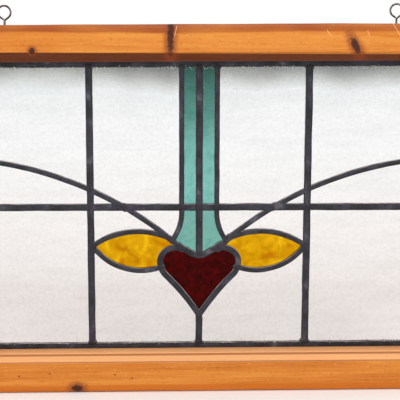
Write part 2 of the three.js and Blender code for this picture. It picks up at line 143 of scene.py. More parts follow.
# %% Make the world and the lamp
bpy.context.scene.view_settings.view_transform = "Standard"
world = bpy.data.worlds.new("studio")
bpy.context.scene.world = world
world.use_nodes = True
background = world.node_tree.nodes["Background"]
background.inputs["Color"].default_value = (1, 1, 1, 1)
background.inputs["Strength"].default_value = 1.0

lamp = bpy.data.objects.new("lamp", bpy.data.lights.new("lamp", "AREA"))
lamp.data.size = 1.2
lamp.data.energy = 17
lamp.location = (0.25, -1.65, 1.6)
lamp.rotation_mode = "QUATERNION"
lamp.rotation_quaternion = (AIM - lamp.location).to_track_quat("-Z", "Y")
bpy.context.scene.collection.objects.link(lamp)
print("one lamp,", lamp.data.size, "m across, at", tuple(lamp.location))

# %% [markdown]
# ## A shorthand for shaders
# A material is a web of small nodes. Writing each link by hand hides the idea, so a
# wire between nodes is wrapped in a class that understands + - * / and powers, and
# each sum adds its Math node. Colours never go through those sums, which would turn
# them grey: they are mixed and tinted instead. Every other node comes from one
# method.

# %% Wrap a socket so that sums can be written


class Wire:
    """A value on its way through a material."""

    def __init__(self, recipe, socket):
        self.recipe = recipe
        self.socket = socket

    def maths(self, operation, *values):
        return self.recipe.node("Math", {"operation": operation}, dict(enumerate(values)))

    def __add__(self, other):
        return self.maths("ADD", self, other)

    def __radd__(self, other):
        return self.maths("ADD", other, self)

    def __sub__(self, other):
        return self.maths("SUBTRACT", self, other)

    def __rsub__(self, other):
        return self.maths("SUBTRACT", other, self)

    def __mul__(self, other):
        return self.maths("MULTIPLY", self, other)

    def __rmul__(self, other):
        return self.maths("MULTIPLY", other, self)

    def __truediv__(self, other):
        return self.maths("DIVIDE", self, other)

    def __rtruediv__(self, other):
        return self.maths("DIVIDE", other, self)

    def __pow__(self, other):
        return self.maths("POWER", self, other)

    def __rpow__(self, other):
        return self.maths("POWER", other, self)

    def __abs__(self):
        return self.maths("ABSOLUTE", self)

    def smallest(self, other):
        return self.maths("MINIMUM", self, other)

    def largest(self, other):
        return self.maths("MAXIMUM", self, other)

    def rise(self, low, high):
        """0 below low, 1 above high, and a smooth rise between."""
        return self.recipe.node(
            "MapRange",
            {"interpolation_type": "SMOOTHSTEP"},
            {"Value": self, "From Min": low, "From Max": high},
        )

print("a wire knows", [name for name in vars(Wire) if "__" in name][3:])

# %% [markdown]
# The class that holds a material knows how to add a node, set its ramp and link its
# sockets. Groups of nodes kept in the file could do the same, but a recipe in code
# can be read from top to bottom.

# %% Write a material down as a recipe


class Recipe:
    """A material being written down."""

    def __init__(self, name):
        self.material = bpy.data.materials.new(name)
        self.material.use_nodes = True
        self.tree = self.material.node_tree
        self.shader = self.tree.nodes["Principled BSDF"]

    def node(self, kind, settings=None, values=None, output=0):
        made = self.tree.nodes.new("ShaderNode" + kind)
        for name, setting in (settings or {}).items():
            if name == "stops":
                self.set_stops(made.color_ramp, setting)
            else:
                setattr(made, name, setting)
        for name, value in (values or {}).items():
            self.give(made.inputs[name], value)
        return Wire(self, made.outputs[output])

    def set_stops(self, ramp, stops):
        while len(ramp.elements) < len(stops):
            ramp.elements.new(0.5)
        for element, (position, shade) in zip(ramp.elements, stops):
            element.position = position
            element.color = (*shade, 1)

    def give(self, socket, value):
        if isinstance(value, Wire):
            self.tree.links.new(value.socket, socket)
        elif isinstance(value, tuple) and len(value) == 3 and socket.type == "RGBA":
            socket.default_value = (*value, 1)
        else:
            socket.default_value = value

    def here(self):
        """The place on the surface, in metres."""
        return self.node("TexCoord", output="Object")

    def parts(self, vector):
        """The x, y and z of a place or a direction."""
        made = self.node("SeparateXYZ", values={"Vector": vector}).socket.node
        return [Wire(self, socket) for socket in made.outputs]

    def stretched(self, place, scale):
        return self.node(
            "VectorMath", {"operation": "MULTIPLY"}, {0: place, 1: Vector(scale)}
        )

    def speckle(self, place, scale, detail=2.0, roughness=0.5, distortion=0.0):
        """Cloudy noise about one half; scale counts its lumps in a metre."""
        return self.node("TexNoise", None, {
            "Vector": place,
            "Scale": scale,
            "Detail": detail,
            "Roughness": roughness,
            "Distortion": distortion,
        })

    def mix(self, first, second, amount):
        """The first colour where amount is 0 and the second where it is 1."""
        return self.node(
            "Mix", {"data_type": "RGBA"}, {"Factor": amount, 6: first, 7: second}, output=2
        )

    def ramp(self, value, low, high, *shades):
        """A colour from evenly read (value, shade) pairs between low and high."""
        stops = [((at - low) / (high - low), shade) for at, shade in shades]
        share = (value - low) / (high - low)
        return self.node("ValToRGB", {"stops": stops}, {"Fac": share})

    def tint(self, shade, other):
        """One colour seen through another."""
        return self.node(
            "Mix",
            {"data_type": "RGBA", "blend_type": "MULTIPLY"},
            {"Factor": 1.0, 6: shade, 7: other},
            output=2,
        )

    def dim(self, shade, least, mask):
        """A colour darkened to a share of itself where the mask is 0."""
        return self.tint(shade, self.mix((least, least, least), (1, 1, 1), mask))

    def bump(self, height, distance, strength):
        return self.node(
            "Bump", None, {"Height": height, "Distance": distance, "Strength": strength}
        )

    def finish(self, **values):
        """Sets the shader's own sockets: base_color gives Base Color, and so on."""
        for name, value in values.items():
            title = name.replace("_", " ").title().replace("Ior", "IOR")
            self.give(self.shader.inputs[title], value)
        return self.material


def colour(red, green, blue):
    """A colour as a painter reads it on a screen, made linear for the shader."""
    linear = []
    for level in (red, green, blue):
        share = level / 255
        low = share <= 0.04045
        linear.append(share / 12.92 if low else ((share + 0.055) / 1.055) ** 2.4)
    return tuple(linear)


print("varnish colour", [round(part, 3) for part in colour(211, 128, 43)])

# %% [markdown]
# ## The floor
# A plain pale floor lies a hair under the bottom rail. It isn't part of the window.
# A curved backdrop would do as well, but a wide floor meets the white world without
# a line that shows.

# %% Lay the floor
FLOOR_HALF = 12
FLOOR_GAP = 0.0003
recipe = Recipe("pale_floor")
floor_shade = recipe.mix(
    (0.96, 0.955, 0.955), (0.98, 0.975, 0.975), recipe.speckle(recipe.here(), 9)
)
recipe.finish(base_color=floor_shade, roughness=0.9, specular_ior_level=0.1)
floor_mesh = bpy.data.meshes.new("floor")
floor_height = SASH_LOW.z - FLOOR_GAP
floor_mesh.from_pydata(
    [(x, y, floor_height) for x, y in (
        (-FLOOR_HALF, -FLOOR_HALF),
        (FLOOR_HALF, -FLOOR_HALF),
        (FLOOR_HALF, FLOOR_HALF),
        (-FLOOR_HALF, FLOOR_HALF),
    )],
    [],
    [(0, 1, 2, 3)],
)
floor_mesh.materials.append(recipe.material)
floor = bpy.data.objects.new("floor", floor_mesh)
bpy.context.scene.collection.objects.link(floor)
print("floor at", round(floor_height, 4))

# %% [markdown]
# ## Pine under old varnish
# The sash is softwood: long straight grain with darker late wood, a few knots that
# the grain runs round, and a glossy orange varnish. Hands have worn and darkened the
# outer edges. The moulding of the top rail faces down and never sees the light: its
# shade is painted on as a dark brown. The moulding of the bottom rail faces up and is
# painted lighter where light falls on it, with painted shade in its quirk and along a
# finer line. All of that is mixed by place: each mask is a smooth noise stretched
# along the member, or a distance from a knot. Rings cut through a log would give
# grain too, but noise stretched along each member keeps the grain running the way a
# joiner lays it.

# %% Say where the knots and scratches are
HEAD_Z = SASH_HIGH.z
FOOT_Z = SASH_LOW.z
OPENING_TOP = CROSSBAR_Z + OPENING_Z * MM
OPENING_BOTTOM = CROSSBAR_Z - OPENING_Z * MM
HEAD_SLOPE, HEAD_LOSS = 0.0093, 1.3
# x, z, half width, half height, lean, all in metres but the lean
knots = [
    (-0.1680, OPENING_TOP + 0.0095, 0.0028, 0.0026, 0.0),
    (-0.0300, OPENING_TOP + 0.0245, 0.0044, 0.0250, 0.03),
    (0.1560, OPENING_TOP + 0.0160, 0.0046, 0.0098, -0.45),
    (-0.1290, FOOT_Z + 0.0050, 0.0060, 0.0042, 0.0),
    (-0.2560, CROSSBAR_Z + 0.0500, 0.0050, 0.0080, 0.2),
    (0.2580, CROSSBAR_Z - 0.0700, 0.0060, 0.0060, -0.2),
]
# x, z, half length, lean
scratches = [
    (0.1985, HEAD_Z - 0.0080, 0.0090, -0.62),
    (0.1690, HEAD_Z - 0.0100, 0.0030, -0.5),
    (0.1290, HEAD_Z - 0.0100, 0.0036, -0.7),
    (-0.0250, HEAD_Z - 0.0090, 0.0060, 0.25),
]
SCRATCH_HALF_WIDTH = 0.00035
# x, height above the foot
pin_holes = [(-0.1890, 0.0185), (-0.1570, 0.0210), (-0.0890, 0.0195), (-0.0710, 0.0155)]
PIN_RADIUS = 0.0009
print(len(knots), "knots,", len(scratches), "scratches,", len(pin_holes), "pin holes")

# %% [markdown]
# A knot, a pin hole or a scratch is a place with a soft rim. A picture could be laid
# on the wood, but a distance worked out from each one's middle stays sharp however
# near the camera comes.

# %% Make masks for knots, scratches and wear


def spot_mask(x, z, spot, blur=0.0):
    """How far a place is from a knot, 1 at its rim; x and z are wires."""
    x0, z0, half_width, half_height, lean = spot
    beside = (x - x0 - (z - z0) * lean) / half_width
    above = (z - z0) / half_height
    return (beside * beside + above * above) ** 0.5 + blur


def knot_masks(x, z, warp):
    """The dark middles of the knots, and the brown round them."""
    dark, halo = 0.0, 0.0
    for knot in knots:
        far = spot_mask(x, z, knot, warp)
        dark = 1 - (1 - dark) * far.rise(0.65, 1.15)
        halo = 1 - (1 - halo) * far.rise(0.9, 2.5)
    return dark, halo


def scratch_mask(x, z):
    scuff = 0.0
    for x0, z0, half_length, lean in scratches:
        line = abs(x - x0 - (z - z0) * lean) / SCRATCH_HALF_WIDTH
        scuff = line.rise(1.3, 0.5) * (abs(z - z0) / half_length).rise(1.0, 0.8) + scuff
    return scuff


def moulding_line_shade(z):
    """Painted shade in the quirk and along the finer line of the moulding of the bottom
    rail.
    """
    quirk = abs(z - OPENING_BOTTOM + 0.0019).rise(0.0011, 0.0005)
    bead_line = abs(z - OPENING_BOTTOM + 0.0079).rise(0.0007, 0.0003)
    return (quirk * 0.62).largest(bead_line * 0.4)

print("knots reach", max(knot[3] for knot in knots) / MM, "mm up or down")

# %% [markdown]
# The real layers go on in the order in which they came to the wood: grain first,
# then varnish worn by hands, and last the knots and scratches that show through it
# all. The painted shade and light of the mouldings go on between the varnish and
# the knots.

# %% Mix the pine


def pine(name, grain, top, bottom):
    """grain is the axis along the member; top and bottom are its share of the wear and of
    the painted moulding shade and light.
    """
    recipe = Recipe(name)
    here = recipe.here()
    x, y, z = recipe.parts(here)
    along = (2.2, 70, 70) if grain == "x" else (70, 70, 2.2)
    bend = recipe.speckle(recipe.stretched(here, (9, 9, 9)), 1, detail=1)
    grain_place = recipe.stretched(here, along)
    fibre = recipe.speckle(grain_place, 9, detail=5, roughness=0.65, distortion=0.3)
    streak = recipe.speckle(grain_place, 1.6, detail=3, roughness=0.5, distortion=0.6)
    broad = recipe.speckle(recipe.stretched(here, (12, 20, 25)), 1, detail=2)
    fleck = recipe.speckle(recipe.stretched(here, (240, 400, 400)), 1, detail=3)

    tone = streak * 0.55 + fibre * 0.45
    wood = recipe.ramp(
        tone, 0.3, 0.7,
        (0.30, colour(176, 92, 16)),
        (0.42, colour(198, 113, 30)),
        (0.52, colour(211, 128, 43)),
        (0.62, colour(219, 141, 55)),
        (0.70, colour(205, 117, 32)),
    )
    wood = recipe.mix(wood, colour(200, 112, 20), broad.rise(0.45, 0.7) * 0.55)
    wood = recipe.mix(wood, colour(230, 164, 88), fleck.rise(0.62, 0.72) * 0.45)
    wood = recipe.mix(wood, colour(150, 72, 14), fleck.rise(0.40, 0.30) * 0.35)

    edge_noise = (bend - 0.5) * 0.006 + (streak - 0.5) * 0.003
    level = z - (x * HEAD_SLOPE - HEAD_LOSS * MM).smallest(0.0)
    worn_top = (level + edge_noise).rise(HEAD_Z - 0.0090, HEAD_Z - 0.0068) * top
    worn_top = worn_top * (0.45 + broad.rise(0.3, 0.65) * 0.5)
    wood = recipe.mix(wood, colour(150, 66, 8), worn_top)
    worn_foot = (z + edge_noise * 0.4).rise(FOOT_Z + 0.0088, FOOT_Z + 0.0074) * bottom
    wood = recipe.mix(wood, colour(198, 104, 8), worn_foot * 0.75)

    # Painted shade: the moulding of the top rail, which faces down, is painted dark brown.
    moulding_shade = z + edge_noise * 0.05
    moulding_shade = moulding_shade.rise(OPENING_TOP + 0.0084, OPENING_TOP + 0.0070) * top
    wood = recipe.mix(wood, colour(84, 28, 0), moulding_shade * 0.93)
    # Painted light: the moulding of the bottom rail, which faces up, is painted pale
    # peach.
    sill_light = z.rise(OPENING_BOTTOM - 0.0092, OPENING_BOTTOM - 0.0076) * bottom
    wood = recipe.mix(wood, colour(248, 182, 124), sill_light * 0.72)
    # Painted shade: the quirk and the finer line of the bottom moulding are painted
    # darker.
    wood = recipe.mix(wood, colour(128, 58, 8), moulding_line_shade(z) * bottom)

    warp = (fleck - 0.5) * 0.9 + (bend - 0.5) * 1.2
    dark, halo = knot_masks(x, z, warp)
    wood = recipe.mix(wood, colour(138, 58, 14), halo * 0.75)
    wood = recipe.mix(wood, colour(46, 16, 8), dark * 0.9)

    scuff = scratch_mask(x, z)
    wood = recipe.mix(wood, colour(250, 190, 130), scuff.smallest(1.0) * top * 0.8)
    for x0, up in pin_holes:
        hole = spot_mask(x, z, (x0, FOOT_Z + up, PIN_RADIUS, PIN_RADIUS, 0.0))
        wood = recipe.mix(wood, colour(70, 34, 14), hole.rise(1.4, 0.6) * bottom * 0.9)

    height = fibre * 0.6 + streak * 0.4 - dark * 0.5 - scuff * 0.6
    return recipe.finish(
        base_color=wood,
        roughness=0.34 + fibre * 0.14 + dark * 0.2,
        specular_ior_level=0.3,
        normal=recipe.bump(height, 0.0005, 0.35),
    )


# The head copy carries the painted shade of its moulding, the foot copy the painted light
# and quirk shade of its moulding.
pine_head = pine("varnished_pine_head", "x", 1.0, 0.0)
pine_foot = pine("varnished_pine_foot", "x", 0.0, 1.0)
pine_upright = pine("varnished_pine_upright", "z", 0.35, 0.35)
sash_pine = {
    "top": pine_head,
    "bottom": pine_foot,
    "left": pine_upright,
    "right": pine_upright,
}
print("pine:", sorted({finish.name for finish in sash_pine.values()}))

# %% [markdown]
# ## Bare pine
# The beads behind were never varnished: plainer, drier and greyer wood. The varnished
# pine could be used again with its wear off, but a short recipe of its own is
# clearer.

# %% Mix the bead pine


def bare_pine(name, grain):
    recipe = Recipe(name)
    here = recipe.here()
    along = (3, 80, 80) if grain == "x" else (80, 80, 3)
    fibre = recipe.speckle(recipe.stretched(here, along), 6, detail=4, roughness=0.6)
    cloud = recipe.speckle(here, 14, detail=2)
    wood = recipe.mix(colour(150, 100, 56), colour(196, 144, 90), fibre.rise(0.35, 0.65))
    wood = recipe.mix(wood, colour(120, 92, 64), cloud.rise(0.5, 0.7) * 0.5)
    return recipe.finish(
        base_color=wood,
        roughness=0.62 + fibre * 0.15,
        normal=recipe.bump(fibre, 0.0004, 0.4),
    )


bead_across = bare_pine("bare_pine_across", "x")
bead_upright = bare_pine("bare_pine_upright", "z")
bead_pine = {
    "top": bead_across,
    "bottom": bead_across,
    "left": bead_upright,
    "right": bead_upright,
}
print("bare pine:", bead_across.name, bead_upright.name)

# %% [markdown]
# ## Old lead
# Lead weathers to a soft dark grey with blue, purple and green in it. The sheen on the
# crown of a came is painted on as a lighter grey and the shade at its edges as black,
# and an upper edge has a painted highlight, a thin pale line. Painting these point by
# point would do it on one lead; here, how far a place lies from the panel's middle
# tells crown from edge on every lead at once.

# %% Mix the lead and the solder
CROWN_SHEEN_DEPTHS = 0.00245, 0.00292


def old_metal(name, black, grey, edge_highlight, highlight_from, highlight_to):
    """black is painted shade at the edges, grey the crown, lit further by painted sheen;
    shine is a painted highlight along an edge, set by depth.
    """
    recipe = Recipe(name)
    here = recipe.here()
    depth = abs(recipe.parts(here)[1] - PANEL_Y)
    cloud = recipe.speckle(here, 60, detail=3)
    grit = recipe.speckle(here, 420, detail=4, roughness=0.6)
    hue = recipe.speckle(here, 34, detail=2)
    up = recipe.parts(recipe.node("NewGeometry", output=1))[2]

    # Painted shade and sheen: the edges of a came go black and its crown lighter.
    crown = depth.rise(*CROWN_SHEEN_DEPTHS)
    metal = recipe.mix(black, grey, crown * (0.25 + cloud.rise(0.35, 0.65) * 0.75))
    metal = recipe.mix(metal, colour(44, 58, 58), hue.rise(0.58, 0.72) * 0.35)
    metal = recipe.mix(metal, colour(60, 46, 64), hue.rise(0.44, 0.32) * 0.4)
    # Painted sheen: lighter patches on the crown.
    crown_sheen = cloud.rise(0.60, 0.72) * crown * 0.6
    metal = recipe.mix(metal, colour(104, 100, 108), crown_sheen)
    metal = recipe.mix(metal, colour(16, 14, 20), grit.rise(0.46, 0.34) * 0.8)
    metal = recipe.mix(metal, colour(130, 126, 130), grit.rise(0.64, 0.74) * 0.55)
    # Painted highlight: a thin pale line along the edges, strongest where they face up.
    edge = depth.rise(highlight_to, highlight_from) * (0.15 + up.rise(-0.1, 0.5) * 0.85)
    edge = edge * (0.35 + cloud.rise(0.62, 0.42) * 0.65)
    metal = recipe.mix(metal, edge_highlight, edge)
    return recipe.finish(
        base_color=metal,
        metallic=0.35,
        roughness=0.42 + grit * 0.25,
        normal=recipe.bump(grit * 0.6 + cloud, 0.0006, 0.5),
    )


lead = old_metal(
    "old_lead",
    colour(12, 10, 14),
    colour(54, 54, 64),
    colour(206, 196, 196),
    0.0022,
    0.0027,
)
solder = old_metal(
    "old_solder",
    colour(24, 20, 26),
    colour(46, 40, 48),
    colour(196, 196, 200),
    0.0024,
    0.0028,
)
print("metals:", lead.name, solder.name)

# %% [markdown]
# ## Cement and steel
# The cement round the border is dry chalk and oil, matt and pale. The eyes are thin
# steel wire gone dull, with a little rust. Both are small, so one noise each is
# enough; a second would never be seen.

# %% Mix the cement and the steel of the eyes
recipe = Recipe("old_cement")
chalk = recipe.speckle(recipe.here(), 700, detail=2)
grains = chalk.rise(0.35, 0.62)
cement = recipe.finish(
    base_color=recipe.mix(colour(120, 120, 112), colour(236, 234, 228), grains),
    roughness=0.9,
    normal=recipe.bump(chalk, 0.0003, 0.5),
)

recipe = Recipe("dull_steel")
rust = recipe.speckle(recipe.here(), 260, detail=3)
bright = rust.rise(0.38, 0.62)
steel = recipe.finish(
    base_color=recipe.mix(colour(58, 54, 50), colour(132, 126, 116), bright),
    metallic=0.9,
    roughness=0.28 + rust * 0.2,
    normal=recipe.bump(rust, 0.0002, 0.4),
)
print("mixed", cement.name, "and", steel.name)

# %% [markdown]
# ## Glass
# The clear panes are rolled glass, frosty with a fine mottle, and the coloured ones
# are cathedral glass. They could be see-through by alpha, but that loses the soft
# blur of rolled glass, so light goes through them by the shader's own transmission
# and the base colour is what it picks up on its way. The shadow of the top rail is
# painted into the clear and teal panes, dimming them towards it, and painted shade
# darkens them a little below the crossbar.

# %% Mix the clear glass


def height_in_panel(recipe, here):
    """Millimetres above the crossbar."""
    return (recipe.parts(here)[2] - CROSSBAR_Z) / MM


recipe = Recipe("clear_rolled_glass")
here = recipe.here()
height = height_in_panel(recipe, here)
drift = recipe.speckle(here, 12, detail=2)
mottle = recipe.speckle(here, 330, detail=3, roughness=0.6)
roll = recipe.speckle(recipe.stretched(here, (18, 18, 90)), 1, detail=2)
DRIFT = 26
# Painted shadow and shade: darker towards the top rail, and a little below the crossbar.
tint_and_shade = recipe.ramp(
    height + (drift - 0.5) * DRIFT, -150, 150,
    (-150, (0.93, 0.88, 0.86)),
    (-95, (0.82, 0.77, 0.745)),
    (-15, (0.92, 0.89, 0.87)),
    (60, (0.97, 0.98, 0.97)),
    (95, (0.97, 0.98, 0.98)),
    (122, (0.89, 0.92, 0.92)),
    (131, (0.70, 0.72, 0.71)),
    (140, (0.44, 0.45, 0.43)),
    (150, (0.22, 0.23, 0.22)),
)
tint_and_shade = recipe.dim(tint_and_shade, 0.90, mottle.rise(0.3, 0.62))
tint_and_shade = recipe.dim(tint_and_shade, 0.965, roll.rise(0.35, 0.6))
clear_glass = recipe.finish(
    base_color=tint_and_shade,
    roughness=0.10 + mottle * 0.16,
    transmission_weight=1.0,
    ior=1.3,
    normal=recipe.bump(mottle * 0.7 + roll * 0.6, 0.0008, 0.5),
)
print("mixed", clear_glass.name)

# %% Mix the coloured glasses


def cathedral(name, patch_size, shades, shade_stops=None):
    """shades run from the darkest patches to the lightest."""
    recipe = Recipe(name)
    here = recipe.here()
    patch = recipe.speckle(here, 1 / patch_size, detail=1.5, distortion=0.8)
    seed = recipe.speckle(here, 380, detail=2)
    count = len(shades) - 1
    shade = recipe.ramp(
        patch, 0.3, 0.7, *[(0.3 + 0.4 * i / count, s) for i, s in enumerate(shades)]
    )
    shade = recipe.dim(shade, 0.9, seed.rise(0.3, 0.6))
    # Painted shade by height, where stops are given.
    if shade_stops:
        height = height_in_panel(recipe, here)
        shade = recipe.tint(shade, recipe.ramp(height, -60, 150, *shade_stops))
    return recipe.finish(
        base_color=shade,
        roughness=0.08 + seed * 0.08,
        transmission_weight=1.0,
        ior=1.12,
        normal=recipe.bump(patch + seed * 0.3, 0.0012, 0.4),
    )


teal_glass = cathedral(
    "teal_glass",
    0.012,
    [colour(118, 184, 174), colour(134, 198, 188), colour(142, 200, 192)],
    # Painted shadow of the top rail, and painted shade below the crossbar.
    [
        (-60, (0.76, 0.76, 0.74)),
        (-8, (0.76, 0.76, 0.74)),
        (8, (0.98, 0.98, 0.98)),
        (60, (0.84, 0.90, 0.88)),
        (95, (0.52, 0.58, 0.56)),
        (125, (0.30, 0.36, 0.34)),
        (150, (0.12, 0.14, 0.12)),
    ],
)
amber_glass = cathedral(
    "amber_glass",
    0.013,
    [colour(196, 118, 0), colour(208, 148, 0), colour(222, 164, 4), colour(238, 184, 16)],
)
red_glass = cathedral(
    "red_glass",
    0.007,
    [colour(34, 0, 0), colour(58, 0, 0), colour(70, 0, 0), colour(92, 0, 0)],
)
print("mixed", teal_glass.name, amber_glass.name, red_glass.name)

# %% [markdown]
# ## Putting pieces together
# The real window is cut, bent and soldered from many small pieces. Cubes and
# cylinders squeezed into place could stand for them, but lists of points and faces
# worked out in code give the true sections. One helper makes the object, puts its
# material on, hides the solids it stands for, and says what it made.

# %% Make a piece from points and faces
made = []
SHARP_ABOVE = math.radians(40)


def make_piece(name, points, faces, material, slot, *nodes):
    mesh = bpy.data.meshes.new(name)
    mesh.from_pydata([tuple(point) for point in points], [], faces)
    surface = bmesh.new()
    surface.from_mesh(mesh)
    bmesh.ops.recalc_face_normals(surface, faces=surface.faces)
    surface.to_mesh(mesh)
    surface.free()
    mesh.shade_smooth()
    mesh.set_sharp_from_angle(angle=SHARP_ABOVE)
    mesh.materials.append(material)
    piece = bpy.data.objects.new(name, mesh)
    bpy.context.scene.collection.objects.link(piece)
    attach(piece, "root")
    if nodes:
        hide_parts(*nodes)
    made.append(name)
    print(name, len(faces), "faces")


# %% [markdown]
# Rails, leads and wire all have one section along a line. A tube of faces joins each
# ring of points to the next, and its two ends are closed with one face each.
# Blender's curves can sweep a section too, but not one that wavers or is mitred at
# its ends.

# %% Join rings of points into a tube


def tube(rings, closed=False):
    """Points and faces through rings of equal length; closed makes them a loop."""
    sides = len(rings[0])
    points = [point for ring in rings for point in ring]
    faces = []
    for here in range(len(rings) if closed else len(rings) - 1):
        there = (here + 1) % len(rings)
        for side in range(sides):
            after = (side + 1) % sides
            faces.append((
                here * sides + side,
                here * sides + after,
                there * sides + after,
                there * sides + side,
            ))
    if not closed:
        faces.append(tuple(reversed(range(sides))))
        faces.append(tuple(range((len(rings) - 1) * sides, len(rings) * sides)))
    return points, faces


def gather(shells):
    """Several shells of points and faces as one."""
    points, faces = [], []
    for shell_points, shell_faces in shells:
        first = len(points)
        points.extend(shell_points)
        faces.extend(tuple(corner + first for corner in face) for face in shell_faces)
    return points, faces


def rounded(corners, radii, steps=3):
    """A closed section with its corners eased; a corner is a complex number."""
    section = []
    count = len(corners)
    for index, (corner, radius) in enumerate(zip(corners, radii)):
        if not radius:
            section.append(corner)
            continue
        before = corners[index - 1] - corner
        after = corners[(index + 1) % count] - corner
        start = corner + before / abs(before) * min(radius, 0.49 * abs(before))
        end = corner + after / abs(after) * min(radius, 0.49 * abs(after))
        for step in range(steps + 1):
            share = step / steps
            first = start + (corner - start) * share
            second = corner + (end - corner) * share
            section.append(first + (second - first) * share)
    return section

print("a square eased:", len(rounded([0, 1, 1 + 1j, 1j], [0.2] * 4)), "points")

# %% [markdown]
# ## The sash
# Four pine members frame the panel: two stiles run the full height and the rails stop
# against them. Their inner edge carries a moulding, a sloping face with a sunk line
# (a quirk) along each side, which is mitred at the corners. Machine-cut edges are
# never perfectly sharp, so the section's corners are eased, and the outermost edge is
# worn round. A bevel over four plain boxes would keep every edge dead straight, so
# each member is swept through many rings instead, and wear makes its edges wander a
# little.

# %% Draw the section of a rail
SASH_DEPTH = (SASH_HIGH.y - SASH_LOW.y) / MM
RAIL_WIDTH = size("top_rail").z / MM
BOTTOM_WIDTH = size("bottom_rail").z / MM
LIP = 25
MOULDING = 8
REBATE = 7.3
MITRE_GAP = 0.15


def face_section(width):
    """Out from the opening, and (imaginary) back from the front face, with easings."""
    corners = [
        (complex(width, SASH_DEPTH), 0.8),
        (complex(MOULDING + 0.5, SASH_DEPTH), 0),
        (complex(MOULDING + 0.5, 0.9), 0),
        (complex(MOULDING, 0.9), 0),
        (complex(MOULDING, 0), 0.5),
        (complex(width - 7.2, 0), 2.5),
        (complex(width - 3.0, 0.5), 2),
        (complex(width - 0.7, 1.6), 1.2),
        (complex(width, 4), 1),
    ]
    return rounded(*zip(*corners))


MOULDING_SECTION = rounded(*zip(*[
    (complex(MOULDING + 0.7, SASH_DEPTH - 0.05), 0),
    (complex(REBATE, SASH_DEPTH - 0.05), 0.3),
    (complex(REBATE, LIP), 0),
    (complex(0, LIP), 0.4),
    (complex(0, 8.5), 0.6),
    (complex(1.6, 8.5), 0.15),
    (complex(1.6, 7.4), 0.35),
    (complex(7.4, 1.1), 0.35),
    (complex(7.6, 1.3), 0.2),
    (complex(MOULDING + 0.7, 1.3), 0),
]))
print("moulding section:", len(MOULDING_SECTION), "points")

# %% [markdown]
# A ninety-year-old sash is seldom true, and this one's head has sunk a little to one
# side. Turning the whole rail would open its corners, so the drop is worked out point
# by point and fades away down the stiles.

# %% Let the head of the sash drop
SETTLED_OVER = 150


def settled(plane):
    """Lowers the head a little to the left, and its top edge more so."""
    x, out = plane.real, plane.imag - OPENING_Z
    at_opening = 0.0070 * x - 0.5
    at_moulding = 0.0061 * x + 0.5
    at_edge = min(0.0, HEAD_SLOPE * x - HEAD_LOSS)
    if out < 0:
        share = max(0.0, 1 + out / SETTLED_OVER)
        drop = at_opening * share * share * (3 - 2 * share)
    elif out < MOULDING:
        drop = at_opening + (at_moulding - at_opening) * out / MOULDING
    else:
        share = min(1.0, (out - MOULDING) / (RAIL_WIDTH - MOULDING))
        drop = at_moulding + (at_edge - at_moulding) * share
    return plane + 1j * drop


for x in (-OPENING_X, 0, OPENING_X):
    moved = (settled(complex(x, OPENING_Z)) - 1j * OPENING_Z).imag
    print(f"head moves {moved:.1f} mm at {x:.0f}")

# %% [markdown]
# Every member is drawn as if it were the top rail, then turned a quarter at a time to
# its own side. Writing each side out in full would be plainer, but four copies soon
# differ.

# %% Sweep a member of the sash
RING_STEP = 4
WANDER_OUT = 0.25
WANDER_BACK = 0.2
SEEN_DEPTH = 40
TURNS = {"top": 1, "left": 1j, "bottom": -1, "right": -1j}
LEVEL_SIDES = ("top", "bottom")


def wander(along, across, reach):
    """A slow sideways drift of up to about reach, the same each time."""
    return reach * noise.noise(Vector((along * 0.021, across * 0.31, 7.7)))


def member(section, side, ends):
    """One shell of a member; ends gives its reach along for a distance out."""
    opening = OPENING_Z if side in LEVEL_SIDES else OPENING_X
    spread = ends(section[0].real)
    count = round((spread[1] - spread[0]) / RING_STEP)
    rings = []
    for step in range(count + 1):
        ring = []
        for spot in section:
            low, high = ends(spot.real)
            along = low + (high - low) * step / count
            seen = 0 < spot.imag < SEEN_DEPTH
            sideways = wander(along, spot.real, WANDER_OUT) * (spot.real > 1) * seen
            out = spot.real + sideways
            back = spot.imag + wander(along, spot.real + 50, WANDER_BACK) * seen
            there = place(settled(TURNS[side] * complex(along, opening + out)), 0)
            there.y = SASH_LOW.y + back * MM
            ring.append(there)
        rings.append(ring)
    return tube(rings)

print("rings every", RING_STEP, "mm")

# %% Make the four members
SHOULDER = OPENING_X + MOULDING - 0.3
TOP_Z = OPENING_Z + RAIL_WIDTH
BOTTOM_Z = OPENING_Z + BOTTOM_WIDTH
sash_ends = {
    "top": lambda out: (-SHOULDER, SHOULDER),
    "bottom": lambda out: (-SHOULDER, SHOULDER),
    "left": lambda out: (-BOTTOM_Z, TOP_Z),
    "right": lambda out: (-TOP_Z, BOTTOM_Z),
}


def mitred_ends(side, gap):
    """Ends that lengthen with the distance out, a gap short of the corner's mitre."""
    reach = (OPENING_X if side in LEVEL_SIDES else OPENING_Z) - gap
    return lambda out: (-reach - min(out, MOULDING), reach + min(out, MOULDING))


for side in TURNS:
    node = f"{side}_rail" if side in LEVEL_SIDES else f"{side}_stile"
    width = BOTTOM_WIDTH if side == "bottom" else RAIL_WIDTH
    shells = [
        member(face_section(width), side, sash_ends[side]),
        member(MOULDING_SECTION, side, mitred_ends(side, MITRE_GAP)),
    ]
    make_piece("pine_" + node, *gather(shells), sash_pine[side], "pine", node)
print("sash:", made)

# %% [markdown]
# ## Lines of the design
# The leads follow long arcs and a heart of four curves a side. They are worked out as
# rows of complex points, the way a glazier draws the cutline on paper first: where
# two circles meet, an arc between two points, and a Bezier curve from its control
# points. Blender's own curves could hold them, but panes and leads have to share the
# very same points.

